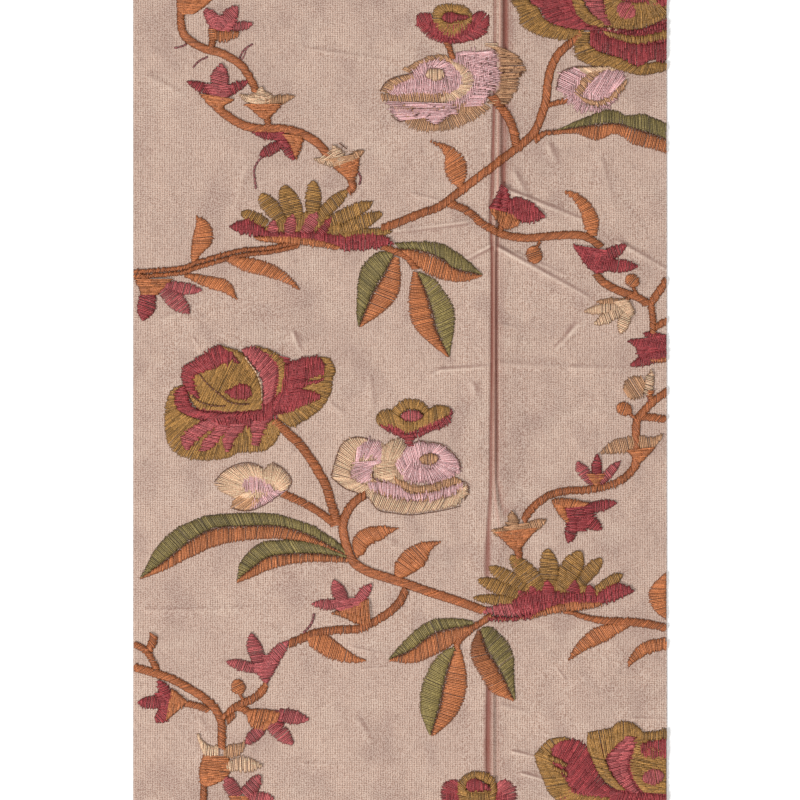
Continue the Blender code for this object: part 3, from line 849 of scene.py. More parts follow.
# Patches between two edges, and the distance between their stitches: wider where the silk shows
CLOSE = THREAD_PITCH
LOOSE = 1.70
OPEN = 1.80
Patch = namedtuple("Patch", "thread level first second pitch", defaults=(CLOSE,))
PATCHES = (
    # calyces and bodies of the small lilies
    Patch("rust", 4, ((208, 29), (209, 36), (209, 44)), ((217, 30), (217, 37), (216, 45))),
    Patch("rust", 4, ((215, 31), (226, 31), (240, 32)), ((215, 41), (226, 42), (238, 37))),
    Patch("rose", 3, ((203, 84), (207, 92), (212, 99)), ((238, 86), (233, 93), (226, 100))),
    Patch("rust", 4, ((200, 94), (208, 104), (218, 110)), ((236, 100), (228, 104), (220, 111))),
    Patch("rust", 4, ((280, 134), (288, 142), (296, 160)), ((304, 136), (302, 148), (297, 160))),
    Patch("crimson", 3, ((268, 133), (276, 141), (284, 147)), ((284, 132), (288, 138), (292, 148))),
    Patch("rust", 4, ((135, 279), (139, 288), (141, 295)), ((173, 279), (165, 288), (158, 295))),
    Patch("crimson", 3, ((502, 185), (495, 199), (488, 209)), ((508, 190), (511, 202), (508, 213))),
    Patch("crimson", 4, ((508, 203), (516, 197), (530, 202), (545, 216)),
        ((508, 215), (518, 221), (532, 223), (545, 218))),
    Patch("rust", 6, ((491, 210), (498, 213), (512, 217), (520, 221)),
        ((492, 214), (497, 222), (506, 230), (517, 227))),
    Patch("crimson", 3, ((573, 244), (581, 247), (592, 249), (604, 253)),
        ((574, 249), (580, 255), (583, 264), (595, 274))),
    Patch("crimson", 3, ((583, 250), (588, 262), (595, 273)), ((604, 252), (604, 262), (598, 274))),
    Patch("rust", 4, ((646, 357), (655, 358), (668, 357)), ((648, 361), (656, 363), (668, 363))),
    Patch("rust", 4, ((584, 474), (590, 481), (596, 487)), ((607, 474), (602, 481), (597, 488))),
    Patch("crimson", 4, ((564, 508), (566, 519), (571, 531)), ((594, 505), (595, 517), (588, 531))),
    Patch("rust", 5, ((551, 500), (561, 498), (572, 499), (590, 503)),
        ((553, 504), (561, 508), (570, 509), (582, 507))),
    Patch("rust", 5, ((552, 502), (557, 511), (566, 523)), ((563, 505), (567, 511), (570, 521))),
    Patch("rose", 3, ((328, 600), (335, 608), (345, 614)), ((362, 597), (364, 603), (360, 611))),
    Patch("rust", 4, ((331, 613), (345, 607), (358, 602), (369, 598)),
        ((333, 614), (347, 619), (362, 626), (371, 624))),
    Patch("rose", 3, ((246, 665), (256, 672), (265, 684)), ((280, 660), (275, 671), (268, 683))),
    Patch("rust", 4, ((246, 710), (254, 709), (264, 709), (281, 712)),
        ((247, 715), (250, 725), (261, 732), (276, 724))),
    Patch("rust", 4, ((172, 688), (179, 694), (187, 701)), ((166, 721), (176, 713), (187, 703))),
    Patch("rust", 3, ((228, 795), (230, 800), (234, 806)), ((250, 795), (249, 801), (246, 806))),
    Patch("rose", 2, ((203, 12), (207, 20), (211, 30)), ((238, 20), (236, 26), (231, 32))),
    Patch("crimson", 2, ((574, 245), (580, 256), (594, 272)), ((612, 251), (614, 262), (604, 273))),
    Patch("crimson", 2, ((634, 340), (636, 348), (640, 360)), ((668, 334), (668, 346), (668, 362))),
    Patch("crimson", 2, ((588, 474), (592, 480), (597, 486)), ((606, 473), (602, 480), (598, 486))),
    Patch("rose", 2, ((252, 655), (256, 664), (264, 676)), ((279, 655), (275, 665), (270, 676))),
    Patch("crimson", 2, ((155, 693), (158, 702), (160, 712)), ((173, 690), (176, 702), (172, 716))),
    Patch("crimson", 2, ((270, 711), (272, 720), (272, 730)), ((286, 713), (284, 722), (280, 732))),
    # bodies and calyces of the pale lilies
    Patch("cream", 3, ((244, 97), (248, 102), (256, 105)), ((271, 95), (269, 101), (263, 105))),
    Patch("rust", 4, ((244, 104), (254, 112), (262, 119)), ((283, 104), (277, 111), (269, 119))),
    Patch("rust", 4, ((333, 168), (341, 174), (348, 180)), ((359, 158), (359, 168), (355, 180))),
    Patch("tan", 3, ((324, 160), (332, 166), (340, 172)), ((357, 154), (357, 160), (354, 166))),
    Patch("cream", 4, ((612, 302), (622, 311), (630, 318)), ((628, 299), (633, 306), (635, 314))),
    Patch("rust", 4, ((645, 392), (648, 398), (651, 404)), ((654, 390), (654, 397), (655, 404))),
    Patch("rust", 4, ((626, 450), (632, 456), (638, 463)), ((656, 447), (649, 455), (641, 463))),
    Patch("rust", 4, ((494, 532), (504, 541), (514, 551)), ((540, 527), (530, 537), (520, 551))),
    Patch("tan", 3, ((502, 526), (507, 534), (512, 539)), ((530, 522), (527, 531), (521, 538))),
    Patch("rust", 2, ((203, 755), (200, 768), (200, 780), (205, 786)),
        ((229, 756), (232, 768), (227, 778), (213, 785))),
    # the orange cup at the top of the top left vine
    Patch("rust", 2, ((177, -5), (177, 6), (178, 15)), ((214, -5), (209, 4), (194, 14))),
    # what lies under the petals of both open flowers
    Patch("olive", 0, ((262, 229), (280, 219), (300, 213), (320, 212), (338, 222), (350, 232)),
        ((264, 238), (280, 240), (300, 241), (320, 242), (338, 244), (352, 242))),
    Patch("olive", 0, ((505, 600), (518, 592), (530, 582), (548, 579), (575, 581), (598, 591)),
        ((508, 606), (520, 606), (535, 606), (550, 604), (575, 603), (602, 601))),
    # body, points and rim of the open flower on the left stem
    Patch("crimson", 3, ((229, 227), (237, 222), (248, 220), (260, 225), (270, 233)),
        ((230, 228), (243, 235), (256, 237), (270, 238))),
    Patch("crimson", 5, ((264, 233), (286, 232), (305, 232), (326, 233), (345, 236)),
        ((264, 239), (286, 240), (305, 241), (326, 244), (345, 248))),
    Patch("crimson", 4, ((331, 242), (340, 238), (353, 234), (370, 233), (384, 236), (394, 243)),
        ((331, 246), (340, 250), (352, 251), (368, 250), (381, 248), (394, 244))),
    Patch("rust", 6, ((253, 237), (275, 236), (294, 236), (320, 240), (341, 247)),
        ((258, 240), (270, 243), (288, 244), (309, 246), (337, 250))),
    # body, points and rim of the open flower on the right lower stem
    Patch("crimson", 5,
        ((512, 600), (522, 595), (535, 591), (550, 591), (566, 592), (585, 593), (603, 596)),
        ((515, 613), (530, 617), (545, 612), (560, 606), (585, 605), (602, 604))),
    Patch("olive", 8, ((548, 755), (556, 757), (567, 764)), ((549, 761), (556, 763), (565, 767))),
    Patch("olive", 8, ((552, 766), (559, 768), (568, 773)), ((553, 771), (559, 773), (567, 776))),
    Patch("rose", 4, ((482, 610), (490, 607), (502, 604), (520, 602), (528, 603)),
        ((483, 613), (492, 615), (504, 617), (520, 616), (535, 613))),
    Patch("crimson", 5, ((598, 593), (606, 587), (615, 583), (625, 585), (634, 591)),
        ((599, 604), (606, 604), (615, 601), (624, 597), (634, 592))),
    Patch("rust", 6, ((530, 617), (542, 610), (558, 604), (573, 601), (602, 602)),
        ((531, 619), (549, 615), (567, 612), (585, 610), (602, 606))),
    Patch("crimson", 4, ((488, 617), (505, 617), (520, 616), (534, 613)),
        ((488, 621), (505, 621), (520, 621), (534, 618))),
    # the big rose: its lower olive petal, and the crimson folds on it
    Patch("olive", 1,
        ((186, 384), (173, 389), (167, 400), (165, 414), (165, 427), (167, 441), (173, 450), (183, 457),
         (197, 460), (212, 460), (227, 458), (239, 453), (258, 452), (268, 449), (276, 441),
         (281, 431)),
        ((186, 386), (178, 393), (177, 400), (180, 409), (188, 415), (198, 418), (205, 419), (212, 419),
         (218, 419), (224, 419), (230, 419), (238, 419), (246, 418), (256, 417), (266, 417),
         (274, 419))),
    Patch("crimson", 6,
        ((183, 386), (176, 391), (175, 400), (178, 409), (186, 414), (198, 418), (212, 419), (229, 418),
         (246, 417), (262, 414)),
        ((184, 386), (186, 390), (189, 397), (192, 404), (196, 409), (203, 411), (215, 412), (233, 413),
         (250, 411), (262, 409))),
    Patch("rose", 6, ((209, 418), (198, 424), (187, 431), (182, 440), (185, 449)),
        ((222, 425), (211, 431), (203, 437), (195, 444), (189, 450))),
    Patch("rose", 6, ((218, 424), (210, 434), (202, 443), (201, 451)),
        ((231, 426), (224, 435), (218, 443), (209, 451))),
    Patch("rose", 6, ((229, 424), (225, 434), (223, 442), (226, 452)),
        ((248, 424), (240, 434), (234, 443), (229, 452))),
    Patch("rose", 6, ((250, 421), (252, 433), (251, 445)), ((270, 420), (265, 432), (259, 446))),
    Patch("crimson", 6, ((205, 415), (220, 416), (235, 416), (250, 414), (274, 409)),
        ((212, 424), (222, 428), (234, 429), (248, 428), (272, 421))),
    Patch("crimson", 6, ((289, 364), (287, 378), (284, 392), (276, 406)),
        ((309, 360), (307, 376), (305, 390), (300, 405))),
    # its inner cup
    Patch("olive", 2,
        ((196, 372), (210, 366), (226, 356), (240, 352), (247, 361), (256, 372), (261, 386), (263, 400),
         (262, 409)),
        ((186, 387), (189, 396), (193, 404), (199, 410), (208, 412), (220, 413), (232, 413), (247, 412),
         (262, 411))),
    Patch("crimson", 6,
        ((199, 399), (189, 392), (183, 382), (183, 368), (194, 361), (206, 353), (214, 347), (224, 347),
         (234, 355), (240, 364)),
        ((200, 398), (197, 389), (195, 379), (198, 374), (205, 373), (212, 371), (219, 367), (226, 364),
         (232, 363), (240, 365))),
    Patch("olive", 3, ((221, 346), (234, 349), (243, 354), (251, 364), (258, 374)),
        ((229, 352), (236, 358), (241, 364), (247, 371), (253, 378))),
    Patch("crimson", 7, ((225, 391), (232, 388), (239, 385), (246, 385), (251, 390)),
        ((225, 393), (232, 398), (240, 401), (247, 401), (252, 395))),
    # the crescent beside it, its olive rim, and the right lobe
    Patch("rose", 3,
        ((241, 349), (252, 347), (261, 349), (270, 357), (277, 365), (278, 374), (276, 382), (275, 392),
         (272, 406)),
        ((243, 351), (247, 358), (253, 366), (258, 373), (262, 381), (263, 388), (263, 395), (262, 403),
         (260, 410))),
    Patch("olive", 2,
        ((256, 346), (270, 350), (281, 356), (286, 364), (288, 374), (288, 386), (285, 395), (279, 404),
         (270, 412)),
        ((258, 348), (266, 354), (273, 361), (277, 368), (278, 375), (277, 383), (275, 392), (273, 401),
         (268, 409))),
    Patch("olive", 1,
        ((321, 357), (330, 359), (336, 370), (333, 379), (332, 389), (329, 398), (321, 409), (311, 417),
         (300, 423), (292, 427), (279, 419)),
        ((300, 361), (300, 368), (299, 376), (298, 384), (297, 391), (295, 398), (292, 403), (289, 408),
         (285, 411), (281, 413), (277, 412))),
    Patch("crimson", 6, ((285, 366), (295, 361), (307, 357), (317, 357), (325, 364)),
        ((284, 382), (293, 381), (302, 379), (312, 379), (324, 376))),
    Patch("crimson", 6, ((283, 378), (293, 380), (303, 381), (313, 381), (324, 378)),
        ((281, 396), (290, 393), (299, 388), (309, 385), (322, 382))),
    Patch("crimson", 6, ((279, 392), (290, 391), (301, 390), (311, 391), (320, 395)),
        ((270, 411), (281, 413), (292, 412), (303, 407), (320, 400))),
    Patch("crimson", 6, ((262, 405), (270, 402), (280, 396), (287, 392)),
        ((262, 414), (271, 415), (281, 413), (290, 409))),
    # what lies under the folds of the three roses, and under the cup flowers and the crossing lily
    Patch("crimson", 0, ((424, 20), (440, 22), (458, 22), (482, 20)),
        ((428, 32), (440, 41), (458, 41), (478, 34))),
    Patch("crimson", 0, ((384, 420), (400, 424), (420, 424), (444, 414)),
        ((386, 428), (400, 435), (420, 433), (444, 424))),
    Patch("crimson", 0, ((550, 748), (554, 764), (568, 784), (590, 796)),
        ((566, 742), (580, 760), (592, 778), (610, 794))),
    Patch("olive", 0, ((628, 738), (632, 756), (632, 776), (642, 792)),
        ((650, 738), (652, 756), (652, 776), (656, 792))),
    Patch("crimson", 0, ((446, 786), (460, 790), (480, 794), (508, 788)),
        ((446, 806), (460, 806), (480, 806), (508, 806))),
    Patch("rust", 3, ((489, 207), (500, 210), (516, 214)), ((491, 214), (500, 220), (517, 225))),
    Patch("crimson", 0, ((528, -5), (536, 4), (546, 14), (562, 24)),
        ((572, -5), (576, 4), (582, 14), (592, 26))),
    Patch("olive", 0, ((600, 8), (618, 12), (640, 8), (668, 0)),
        ((600, 28), (618, 31), (640, 30), (668, 18))),
    Patch("crimson", 0, ((590, 24), (610, 27), (640, 29), (668, 18)),
        ((590, 40), (610, 44), (640, 46), (668, 44))),
    Patch("crimson", 0, ((604, -5), (620, -5), (640, -5), (668, -5)),
        ((604, 10), (620, 12), (640, 12), (668, 12))),
    Patch("crimson", 0, ((256, 350), (262, 370), (264, 390), (256, 412)),
        ((290, 358), (296, 376), (294, 396), (284, 416))),
    Patch("crimson", 0, ((196, 404), (220, 408), (250, 408), (280, 404)),
        ((200, 422), (220, 426), (250, 426), (282, 420))),
    Patch("crimson", 0, ((596, 744), (606, 762), (616, 780), (630, 796)),
        ((640, 736), (640, 756), (642, 776), (650, 798))),
    Patch("crimson", 0, ((560, 786), (590, 788), (630, 788), (668, 790)),
        ((560, 806), (590, 806), (630, 806), (668, 806))),
    # the rose at the top right, from its outer petal inwards
    Patch("olive", 1,
        ((508, -5), (511, 2), (518, 12), (520, 24), (527, 30), (540, 36), (554, 39), (569, 40),
         (583, 31)),
        ((528, -5), (530, 2), (539, 8), (542, 16), (550, 22), (560, 26), (569, 28), (577, 29),
         (585, 30))),
    Patch("crimson", 2,
        ((529, -5), (531, 3), (541, 9), (543, 16), (551, 23), (561, 26), (574, 29), (598, 30)),
        ((560, -5), (566, 0), (572, 6), (576, 13), (582, 20), (588, 25), (593, 28), (600, 30))),
    Patch("olive", 3, ((561, -5), (571, 0), (575, 12), (585, 23), (600, 29)),
        ((580, -5), (583, 0), (588, 10), (596, 17), (606, 25))),
    Patch("rose", 3, ((581, -5), (584, 0), (589, 10), (597, 18), (606, 26)),
        ((604, -5), (604, 0), (605, 8), (608, 17), (612, 25))),
    Patch("olive", 4,
        ((603, -5), (604, 4), (606, 14), (609, 22), (618, 26), (633, 26), (649, 21), (668, 14)),
        ((616, -5), (618, -2), (622, 0), (627, 1), (633, 2), (639, 2), (645, 1), (650, -5))),
    Patch("crimson", 4, ((645, -5), (648, 0), (655, 1), (668, -5)),
        ((645, 3), (650, 8), (658, 9), (668, 7))),
    Patch("crimson", 5, ((592, 26), (604, 28), (618, 30), (633, 31), (650, 27), (668, 22)),
        ((594, 29), (604, 32), (618, 34), (633, 35), (650, 32), (668, 28)), LOOSE),
    Patch("olive", 4, ((602, 30), (618, 33), (636, 36), (651, 34), (668, 29)),
        ((606, 36), (620, 41), (636, 45), (651, 43), (668, 39))),
    Patch("crimson", 3, ((590, 31), (602, 35), (618, 40), (638, 44), (652, 44), (668, 42)),
        ((590, 46), (598, 52), (618, 58), (638, 68), (648, 62), (668, 63))),
    Patch("olive", 2,
        ((574, 48), (576, 57), (583, 62), (593, 66), (608, 67), (618, 70), (633, 74), (647, 75),
         (668, 70)),
        ((590, 44), (594, 48), (599, 51), (606, 54), (618, 57), (628, 61), (638, 66), (647, 63),
         (668, 61))),
    Patch("olive", 2, ((576, 32), (573, 40), (575, 50)), ((592, 32), (590, 40), (592, 48))),
    # the rose at the bottom right
    Patch("olive", 1,
        ((570, 738), (560, 737), (548, 740), (540, 748), (535, 755), (537, 765), (540, 773), (544, 782),
         (547, 790), (553, 797), (560, 802), (575, 806)),
        ((568, 740), (562, 742), (556, 746), (553, 750), (552, 757), (554, 763), (559, 769), (564, 775),
         (567, 781), (572, 788), (580, 793), (592, 796))),
    Patch("crimson", 2,
        ((551, 749), (558, 742), (566, 739), (577, 740), (587, 747), (591, 756), (595, 766), (600, 775),
         (607, 784), (616, 790), (629, 794)),
        ((552, 750), (553, 758), (553, 764), (558, 770), (565, 774), (567, 780), (572, 787), (578, 792),
         (586, 795), (596, 796), (612, 797))),
    Patch("olive", 3,
        ((587, 742), (588, 734), (593, 731), (606, 729), (613, 726), (618, 722), (625, 721), (633, 723),
         (639, 728), (644, 732), (654, 731), (668, 728)),
        ((588, 752), (596, 758), (603, 760), (608, 756), (613, 750), (619, 744), (626, 739), (631, 737),
         (636, 738), (642, 741), (652, 741), (668, 740))),
    Patch("olive", 3, ((588, 750), (593, 762), (598, 772), (605, 781), (616, 789)),
        ((604, 755), (607, 763), (611, 772), (618, 782), (627, 790))),
    Patch("rose", 4,
        ((625, 736), (618, 746), (610, 755), (608, 762), (612, 772), (618, 782), (625, 788),
         (636, 794)),
        ((632, 736), (637, 741), (634, 748), (630, 757), (629, 765), (630, 773), (634, 782),
         (640, 791))),
    Patch("olive", 3, ((637, 742), (634, 750), (630, 760), (630, 771), (635, 783), (643, 792)),
        ((668, 752), (668, 760), (668, 768), (668, 776), (668, 785), (668, 794))),
    Patch("crimson", 4, ((640, 744), (650, 741), (668, 738)), ((641, 756), (652, 760), (668, 759))),
    Patch("crimson", 4, ((612, 795), (625, 792), (640, 793), (668, 795)),
        ((605, 806), (625, 806), (640, 806), (668, 806))),
    Patch("olive", 2, ((575, 794), (590, 795), (604, 796), (616, 797)),
        ((566, 806), (585, 806), (600, 806), (612, 806))),
)

# The pale pink flowers, the buds and the cup flowers, which show silk between their stitches
PALE_PATCHES = (
    # pale lilies and a pale bud on the right vine
    Patch("tan", 3, ((600, 452), (612, 441), (626, 437), (640, 436), (652, 437), (663, 434)),
        ((601, 454), (615, 454), (626, 453), (640, 452), (652, 449), (660, 441)), OPEN),
    Patch("tan", 2, ((623, 390), (625, 381), (632, 376), (642, 377)),
        ((628, 398), (636, 400), (643, 397), (646, 385)), OPEN),
    Patch("cream", 3, ((318, 160), (330, 164), (343, 171)), ((332, 149), (346, 156), (362, 154)), OPEN),
    Patch("cream", 3, ((243, 97), (252, 104), (262, 109)), ((262, 90), (274, 95), (282, 99)), OPEN),
    Patch("cream", 3, ((197, 733), (203, 741), (210, 745), (219, 746)),
        ((199, 741), (202, 750), (206, 758), (219, 758)), OPEN),
    Patch("tan", 3, ((223, 749), (233, 744), (245, 742)), ((223, 759), (234, 758), (245, 751)), OPEN),
    Patch("cream", 4, ((226, 762), (236, 758), (248, 757), (262, 765)),
        ((227, 771), (238, 772), (250, 772), (262, 768)), OPEN),
    # what lies under the pale flowers' folds
    Patch("tan", 0, ((390, 100), (420, 104), (450, 104), (484, 100)),
        ((400, 120), (420, 122), (446, 118), (480, 112)), OPEN),
    Patch("lilac", 0, ((386, 90), (400, 79), (420, 69), (438, 62), (456, 62), (472, 68)),
        ((392, 96), (404, 99), (420, 99), (438, 99), (458, 98), (474, 90)), OPEN),
    Patch("lilac", 1, ((452, 56), (468, 52), (492, 50)), ((446, 108), (468, 107), (486, 104)), OPEN),
    Patch("lilac", 0, ((560, 76), (575, 71), (600, 71), (623, 75)),
        ((564, 99), (580, 105), (600, 104), (620, 94)), OPEN),
    Patch("lilac", 0, ((396, 456), (412, 446), (430, 445), (448, 451), (458, 463)),
        ((398, 478), (412, 482), (430, 484), (448, 482), (460, 474)), OPEN),
    Patch("tan", 0, ((370, 478), (395, 480), (430, 486), (462, 480)),
        ((372, 492), (396, 500), (430, 503), (464, 492)), OPEN),
    Patch("cream", 0, ((352, 450), (366, 442), (388, 444), (404, 446)),
        ((352, 480), (366, 486), (386, 488), (404, 482)), OPEN),
    Patch("cream", 0, ((222, 478), (238, 468), (256, 468), (276, 470), (288, 480)),
        ((226, 490), (240, 500), (256, 500), (272, 497), (284, 489)), OPEN),
    # the pink flower on the flower stem: left lobe, middle lobe, folds and lower petals
    Patch("cream", 1, ((331, 477), (334, 465), (337, 455), (343, 442), (356, 437), (367, 439)),
        ((353, 481), (352, 473), (353, 465), (356, 456), (360, 448), (368, 442)), OPEN),
    Patch("cream", 1, ((331, 477), (344, 487), (357, 492), (371, 498)),
        ((352, 478), (360, 482), (368, 484), (376, 488)), OPEN),
    Patch("lilac", 2, ((357, 449), (361, 443), (371, 440), (379, 443), (383, 452), (381, 462)),
        ((355, 465), (359, 461), (364, 459), (369, 459), (375, 460), (380, 464)), OPEN),
    Patch("lilac", 2, ((355, 462), (352, 471), (353, 478), (360, 482), (371, 480)),
        ((382, 460), (377, 464), (374, 469), (372, 474), (372, 479)), OPEN),
    Patch("cream", 2, ((383, 446), (392, 440), (401, 438), (407, 446)),
        ((380, 464), (386, 463), (391, 462), (395, 462)), OPEN),
    Patch("cream", 2, ((379, 462), (374, 468), (376, 477), (388, 480)),
        ((396, 460), (396, 466), (398, 472), (394, 480)), OPEN),
    Patch("lilac", 2, ((395, 464), (401, 455), (407, 447), (417, 442), (427, 443)),
        ((400, 475), (408, 468), (414, 462), (421, 459), (429, 457)), LOOSE),
    Patch("lilac", 2, ((426, 443), (441, 445), (450, 452), (459, 462), (458, 471), (448, 476)),
        ((427, 452), (434, 454), (438, 457), (438, 460), (436, 463), (432, 466)), OPEN),
    Patch("lilac", 3, ((400, 475), (414, 482), (430, 481), (448, 476), (457, 470)),
        ((409, 463), (416, 466), (424, 467), (432, 466), (440, 461)), OPEN),
    Patch("tan", 2, ((394, 476), (401, 480), (416, 486), (435, 483), (453, 477), (461, 480)),
        ((394, 482), (402, 488), (416, 493), (435, 490), (452, 486), (463, 484)), LOOSE),
    Patch("lilac", 3,
        ((367, 483), (382, 481), (397, 485), (409, 493), (430, 493), (447, 488), (463, 483)),
        ((370, 490), (382, 495), (401, 499), (421, 501), (436, 500), (448, 497), (462, 491))),
    Patch("cream", 2,
        ((371, 490), (382, 495), (401, 499), (421, 501), (440, 499), (456, 494), (464, 486)),
        ((369, 499), (378, 509), (392, 512), (408, 514), (425, 512), (445, 509), (460, 505)), OPEN),
    Patch("cream", 2, ((459, 489), (461, 492), (458, 496)), ((464, 481), (469, 491), (463, 501)), OPEN),
    # the cup flower above it
    Patch("olive", 2,
        ((389, 417), (392, 410), (400, 402), (411, 399), (422, 401), (429, 409), (431, 416)),
        ((398, 420), (401, 415), (406, 411), (411, 410), (416, 410), (421, 413), (425, 418))),
    Patch("olive", 3, ((376, 421), (379, 413), (387, 409), (393, 412), (401, 417)),
        ((379, 425), (386, 428), (394, 430), (401, 431), (407, 434))),
    Patch("olive", 3, ((449, 407), (438, 405), (429, 409), (422, 416), (414, 420)),
        ((451, 413), (441, 421), (430, 427), (419, 430), (407, 434))),
    Patch("olive", 4, ((399, 417), (407, 421), (415, 421), (424, 416)),
        ((401, 430), (406, 434), (412, 432), (422, 429))),
    Patch("crimson", 2,
        ((379, 423), (389, 427), (399, 431), (408, 435), (420, 431), (434, 426), (445, 417),
         (451, 408)),
        ((380, 426), (391, 434), (401, 438), (408, 440), (420, 437), (434, 431), (448, 425),
         (453, 413))),
    Patch("crimson", 3, ((402, 435), (405, 440), (407, 446)), ((416, 434), (415, 439), (414, 446))),
    # the pink flower at the top, with its long stitches across the crease
    Patch("lilac", 2, ((412, 71), (421, 63), (436, 60), (447, 63), (455, 71), (453, 81)),
        ((419, 79), (424, 72), (430, 68), (436, 68), (442, 71), (444, 78)), OPEN),
    Patch("lilac", 2, ((394, 87), (413, 79), (424, 76), (434, 80), (446, 80)),
        ((395, 92), (406, 94), (419, 91), (434, 92), (445, 87)), OPEN),
    Patch("tan", 1, ((402, 70), (416, 62), (431, 56), (444, 55), (452, 60)),
        ((411, 74), (420, 66), (431, 62), (444, 61), (455, 66)), OPEN),
    Patch("tan", 1, ((380, 91), (385, 84), (395, 78), (412, 74)),
        ((392, 94), (395, 89), (402, 84), (414, 79)), OPEN),
    Patch("tan", 1, ((380, 94), (396, 94), (418, 92), (434, 93), (448, 91)),
        ((382, 101), (400, 103), (418, 103), (434, 103), (450, 102)), OPEN),
    Patch("cream", 2,
        ((449, 60), (462, 64), (471, 71), (475, 81), (472, 89), (464, 97), (452, 102), (440, 102)),
        ((455, 68), (459, 73), (460, 79), (459, 84), (456, 88), (450, 92), (446, 94), (442, 96)), OPEN),
    Patch("lilac", 2, ((457, 56), (463, 52), (472, 70), (476, 80), (473, 92), (462, 107)),
        ((495, 50), (498, 56), (499, 68), (501, 82), (493, 93), (481, 106)), OPEN),
    Patch("lilac", 2, ((388, 101), (390, 106), (391, 112), (400, 121)),
        ((456, 104), (458, 108), (457, 113), (449, 115)), OPEN),
    Patch("lilac", 3, ((418, 112), (425, 118), (433, 124)), ((456, 110), (448, 116), (438, 124)), OPEN),
    Patch("tan", 1,
        ((404, 119), (408, 126), (418, 131), (436, 131), (449, 130), (463, 125), (478, 117),
         (491, 108)),
        ((407, 114), (415, 115), (426, 119), (437, 124), (446, 118), (455, 114), (468, 108),
         (482, 103)), OPEN),
    Patch("tan", 2, ((488, 46), (495, 50), (499, 62), (500, 75), (498, 90), (487, 104)),
        ((505, 49), (520, 58), (527, 69), (521, 78), (517, 91), (508, 105)), OPEN),
    Patch("cream", 2, ((486, 43), (486, 47)), ((499, 43), (499, 48)), OPEN),
    # the cup flower at the top
    Patch("olive", 1, ((440, 12), (440, 18), (441, 26)), ((468, 12), (467, 20), (462, 28))),
    Patch("olive", 2,
        ((432, 18), (434, 10), (441, 5), (450, 4), (464, 6), (471, 12), (472, 20), (467, 30), (459, 36),
         (448, 38), (440, 34), (434, 26), (432, 19)),
        ((443, 18), (444, 15), (447, 13), (451, 13), (457, 14), (462, 16), (466, 18), (461, 21),
         (456, 23), (451, 24), (447, 23), (444, 21), (443, 19))),
    Patch("crimson", 2, ((417, 22), (417, 16), (422, 13), (431, 14)),
        ((417, 27), (423, 27), (429, 25), (434, 22))),
    Patch("crimson", 2, ((416, 25), (428, 37), (438, 42), (449, 45)),
        ((428, 20), (434, 27), (441, 34), (450, 38))),
    Patch("crimson", 2, ((472, 16), (477, 12), (484, 12), (489, 17), (489, 25)),
        ((472, 21), (473, 23), (475, 25), (477, 28), (479, 31))),
    Patch("crimson", 2, ((489, 23), (486, 33), (477, 39), (465, 42), (448, 45)),
        ((474, 22), (471, 28), (465, 33), (458, 37), (449, 39))),
    # the cup flower at the bottom
    Patch("crimson", 1, ((442, 806), (441, 792), (445, 782), (455, 779)),
        ((463, 806), (463, 800), (462, 792), (462, 785))),
    Patch("rose", 1, ((517, 806), (516, 791), (510, 781), (500, 780)),
        ((490, 806), (494, 798), (496, 790), (496, 785))),
    Patch("olive", 3, ((464, 790), (464, 798), (465, 806)), ((492, 790), (492, 798), (490, 806))),
    Patch("olive", 5, ((466, 792), (478, 792), (490, 792)), ((468, 806), (478, 806), (488, 806))),
    Patch("olive", 4,
        ((458, 806), (457, 795), (458, 784), (465, 775), (477, 771), (489, 774), (496, 782), (497, 793),
         (494, 806)),
        ((472, 806), (470, 797), (467, 789), (470, 782), (477, 779), (485, 783), (490, 789), (488, 796),
         (484, 806))),
    Patch("crimson", 7, ((466, 786), (469, 779), (475, 778), (483, 782), (491, 789)),
        ((467, 788), (470, 792), (477, 791), (484, 791), (491, 791))),
    # the bud on the rose stem
    Patch("cream", 1, ((215, 482), (224, 472), (238, 465), (252, 464), (263, 469), (270, 474)),
        ((244, 489), (247, 487), (251, 485), (256, 484), (261, 485), (266, 488)), OPEN),
    Patch("cream", 1, ((215, 483), (219, 490), (226, 494), (236, 498), (248, 500)),
        ((242, 487), (246, 489), (249, 491), (253, 492), (257, 492)), OPEN),
    Patch("cream", 2, ((263, 470), (272, 463), (284, 470), (291, 481), (287, 489)),
        ((266, 488), (270, 487), (273, 488), (276, 489), (279, 492)), OPEN),
    Patch("lilac", 2, ((243, 480), (252, 476), (262, 478), (270, 484)),
        ((241, 491), (252, 495), (263, 495), (276, 494)), OPEN),
    Patch("tan", 1, ((236, 497), (231, 507), (240, 510), (251, 510)),
        ((246, 491), (252, 495), (258, 497), (263, 499)), OPEN),
    Patch("lilac", 1, ((249, 510), (263, 505), (275, 498), (284, 491)),
        ((251, 501), (260, 497), (268, 493), (276, 490)), OPEN),
    # the bud at the top right
    Patch("lilac", 2, ((557, 91), (558, 82), (562, 74), (568, 70), (576, 68)),
        ((572, 97), (573, 91), (576, 84), (581, 78), (588, 73)), OPEN),
    Patch("cream", 2, ((574, 68), (589, 67), (608, 67), (617, 69)),
        ((590, 76), (598, 73), (606, 71), (614, 71)), OPEN),
    Patch("tan", 3, ((596, 70), (585, 76), (575, 90)), ((602, 72), (592, 82), (581, 97)), LOOSE),
    Patch("tan", 3, ((574, 92), (584, 98), (597, 101), (609, 97), (618, 88), (627, 79)),
        ((579, 96), (586, 103), (597, 107), (611, 103), (621, 94), (627, 84)), LOOSE),
    Patch("lilac", 2, ((600, 74), (610, 69), (621, 71), (626, 78)),
        ((583, 92), (592, 98), (604, 98), (614, 91)), OPEN),
    Patch("lilac", 2, ((563, 99), (571, 104), (579, 110), (595, 111), (608, 107), (617, 99)),
        ((571, 94), (577, 99), (584, 103), (595, 105), (605, 103), (612, 97)), OPEN),
)

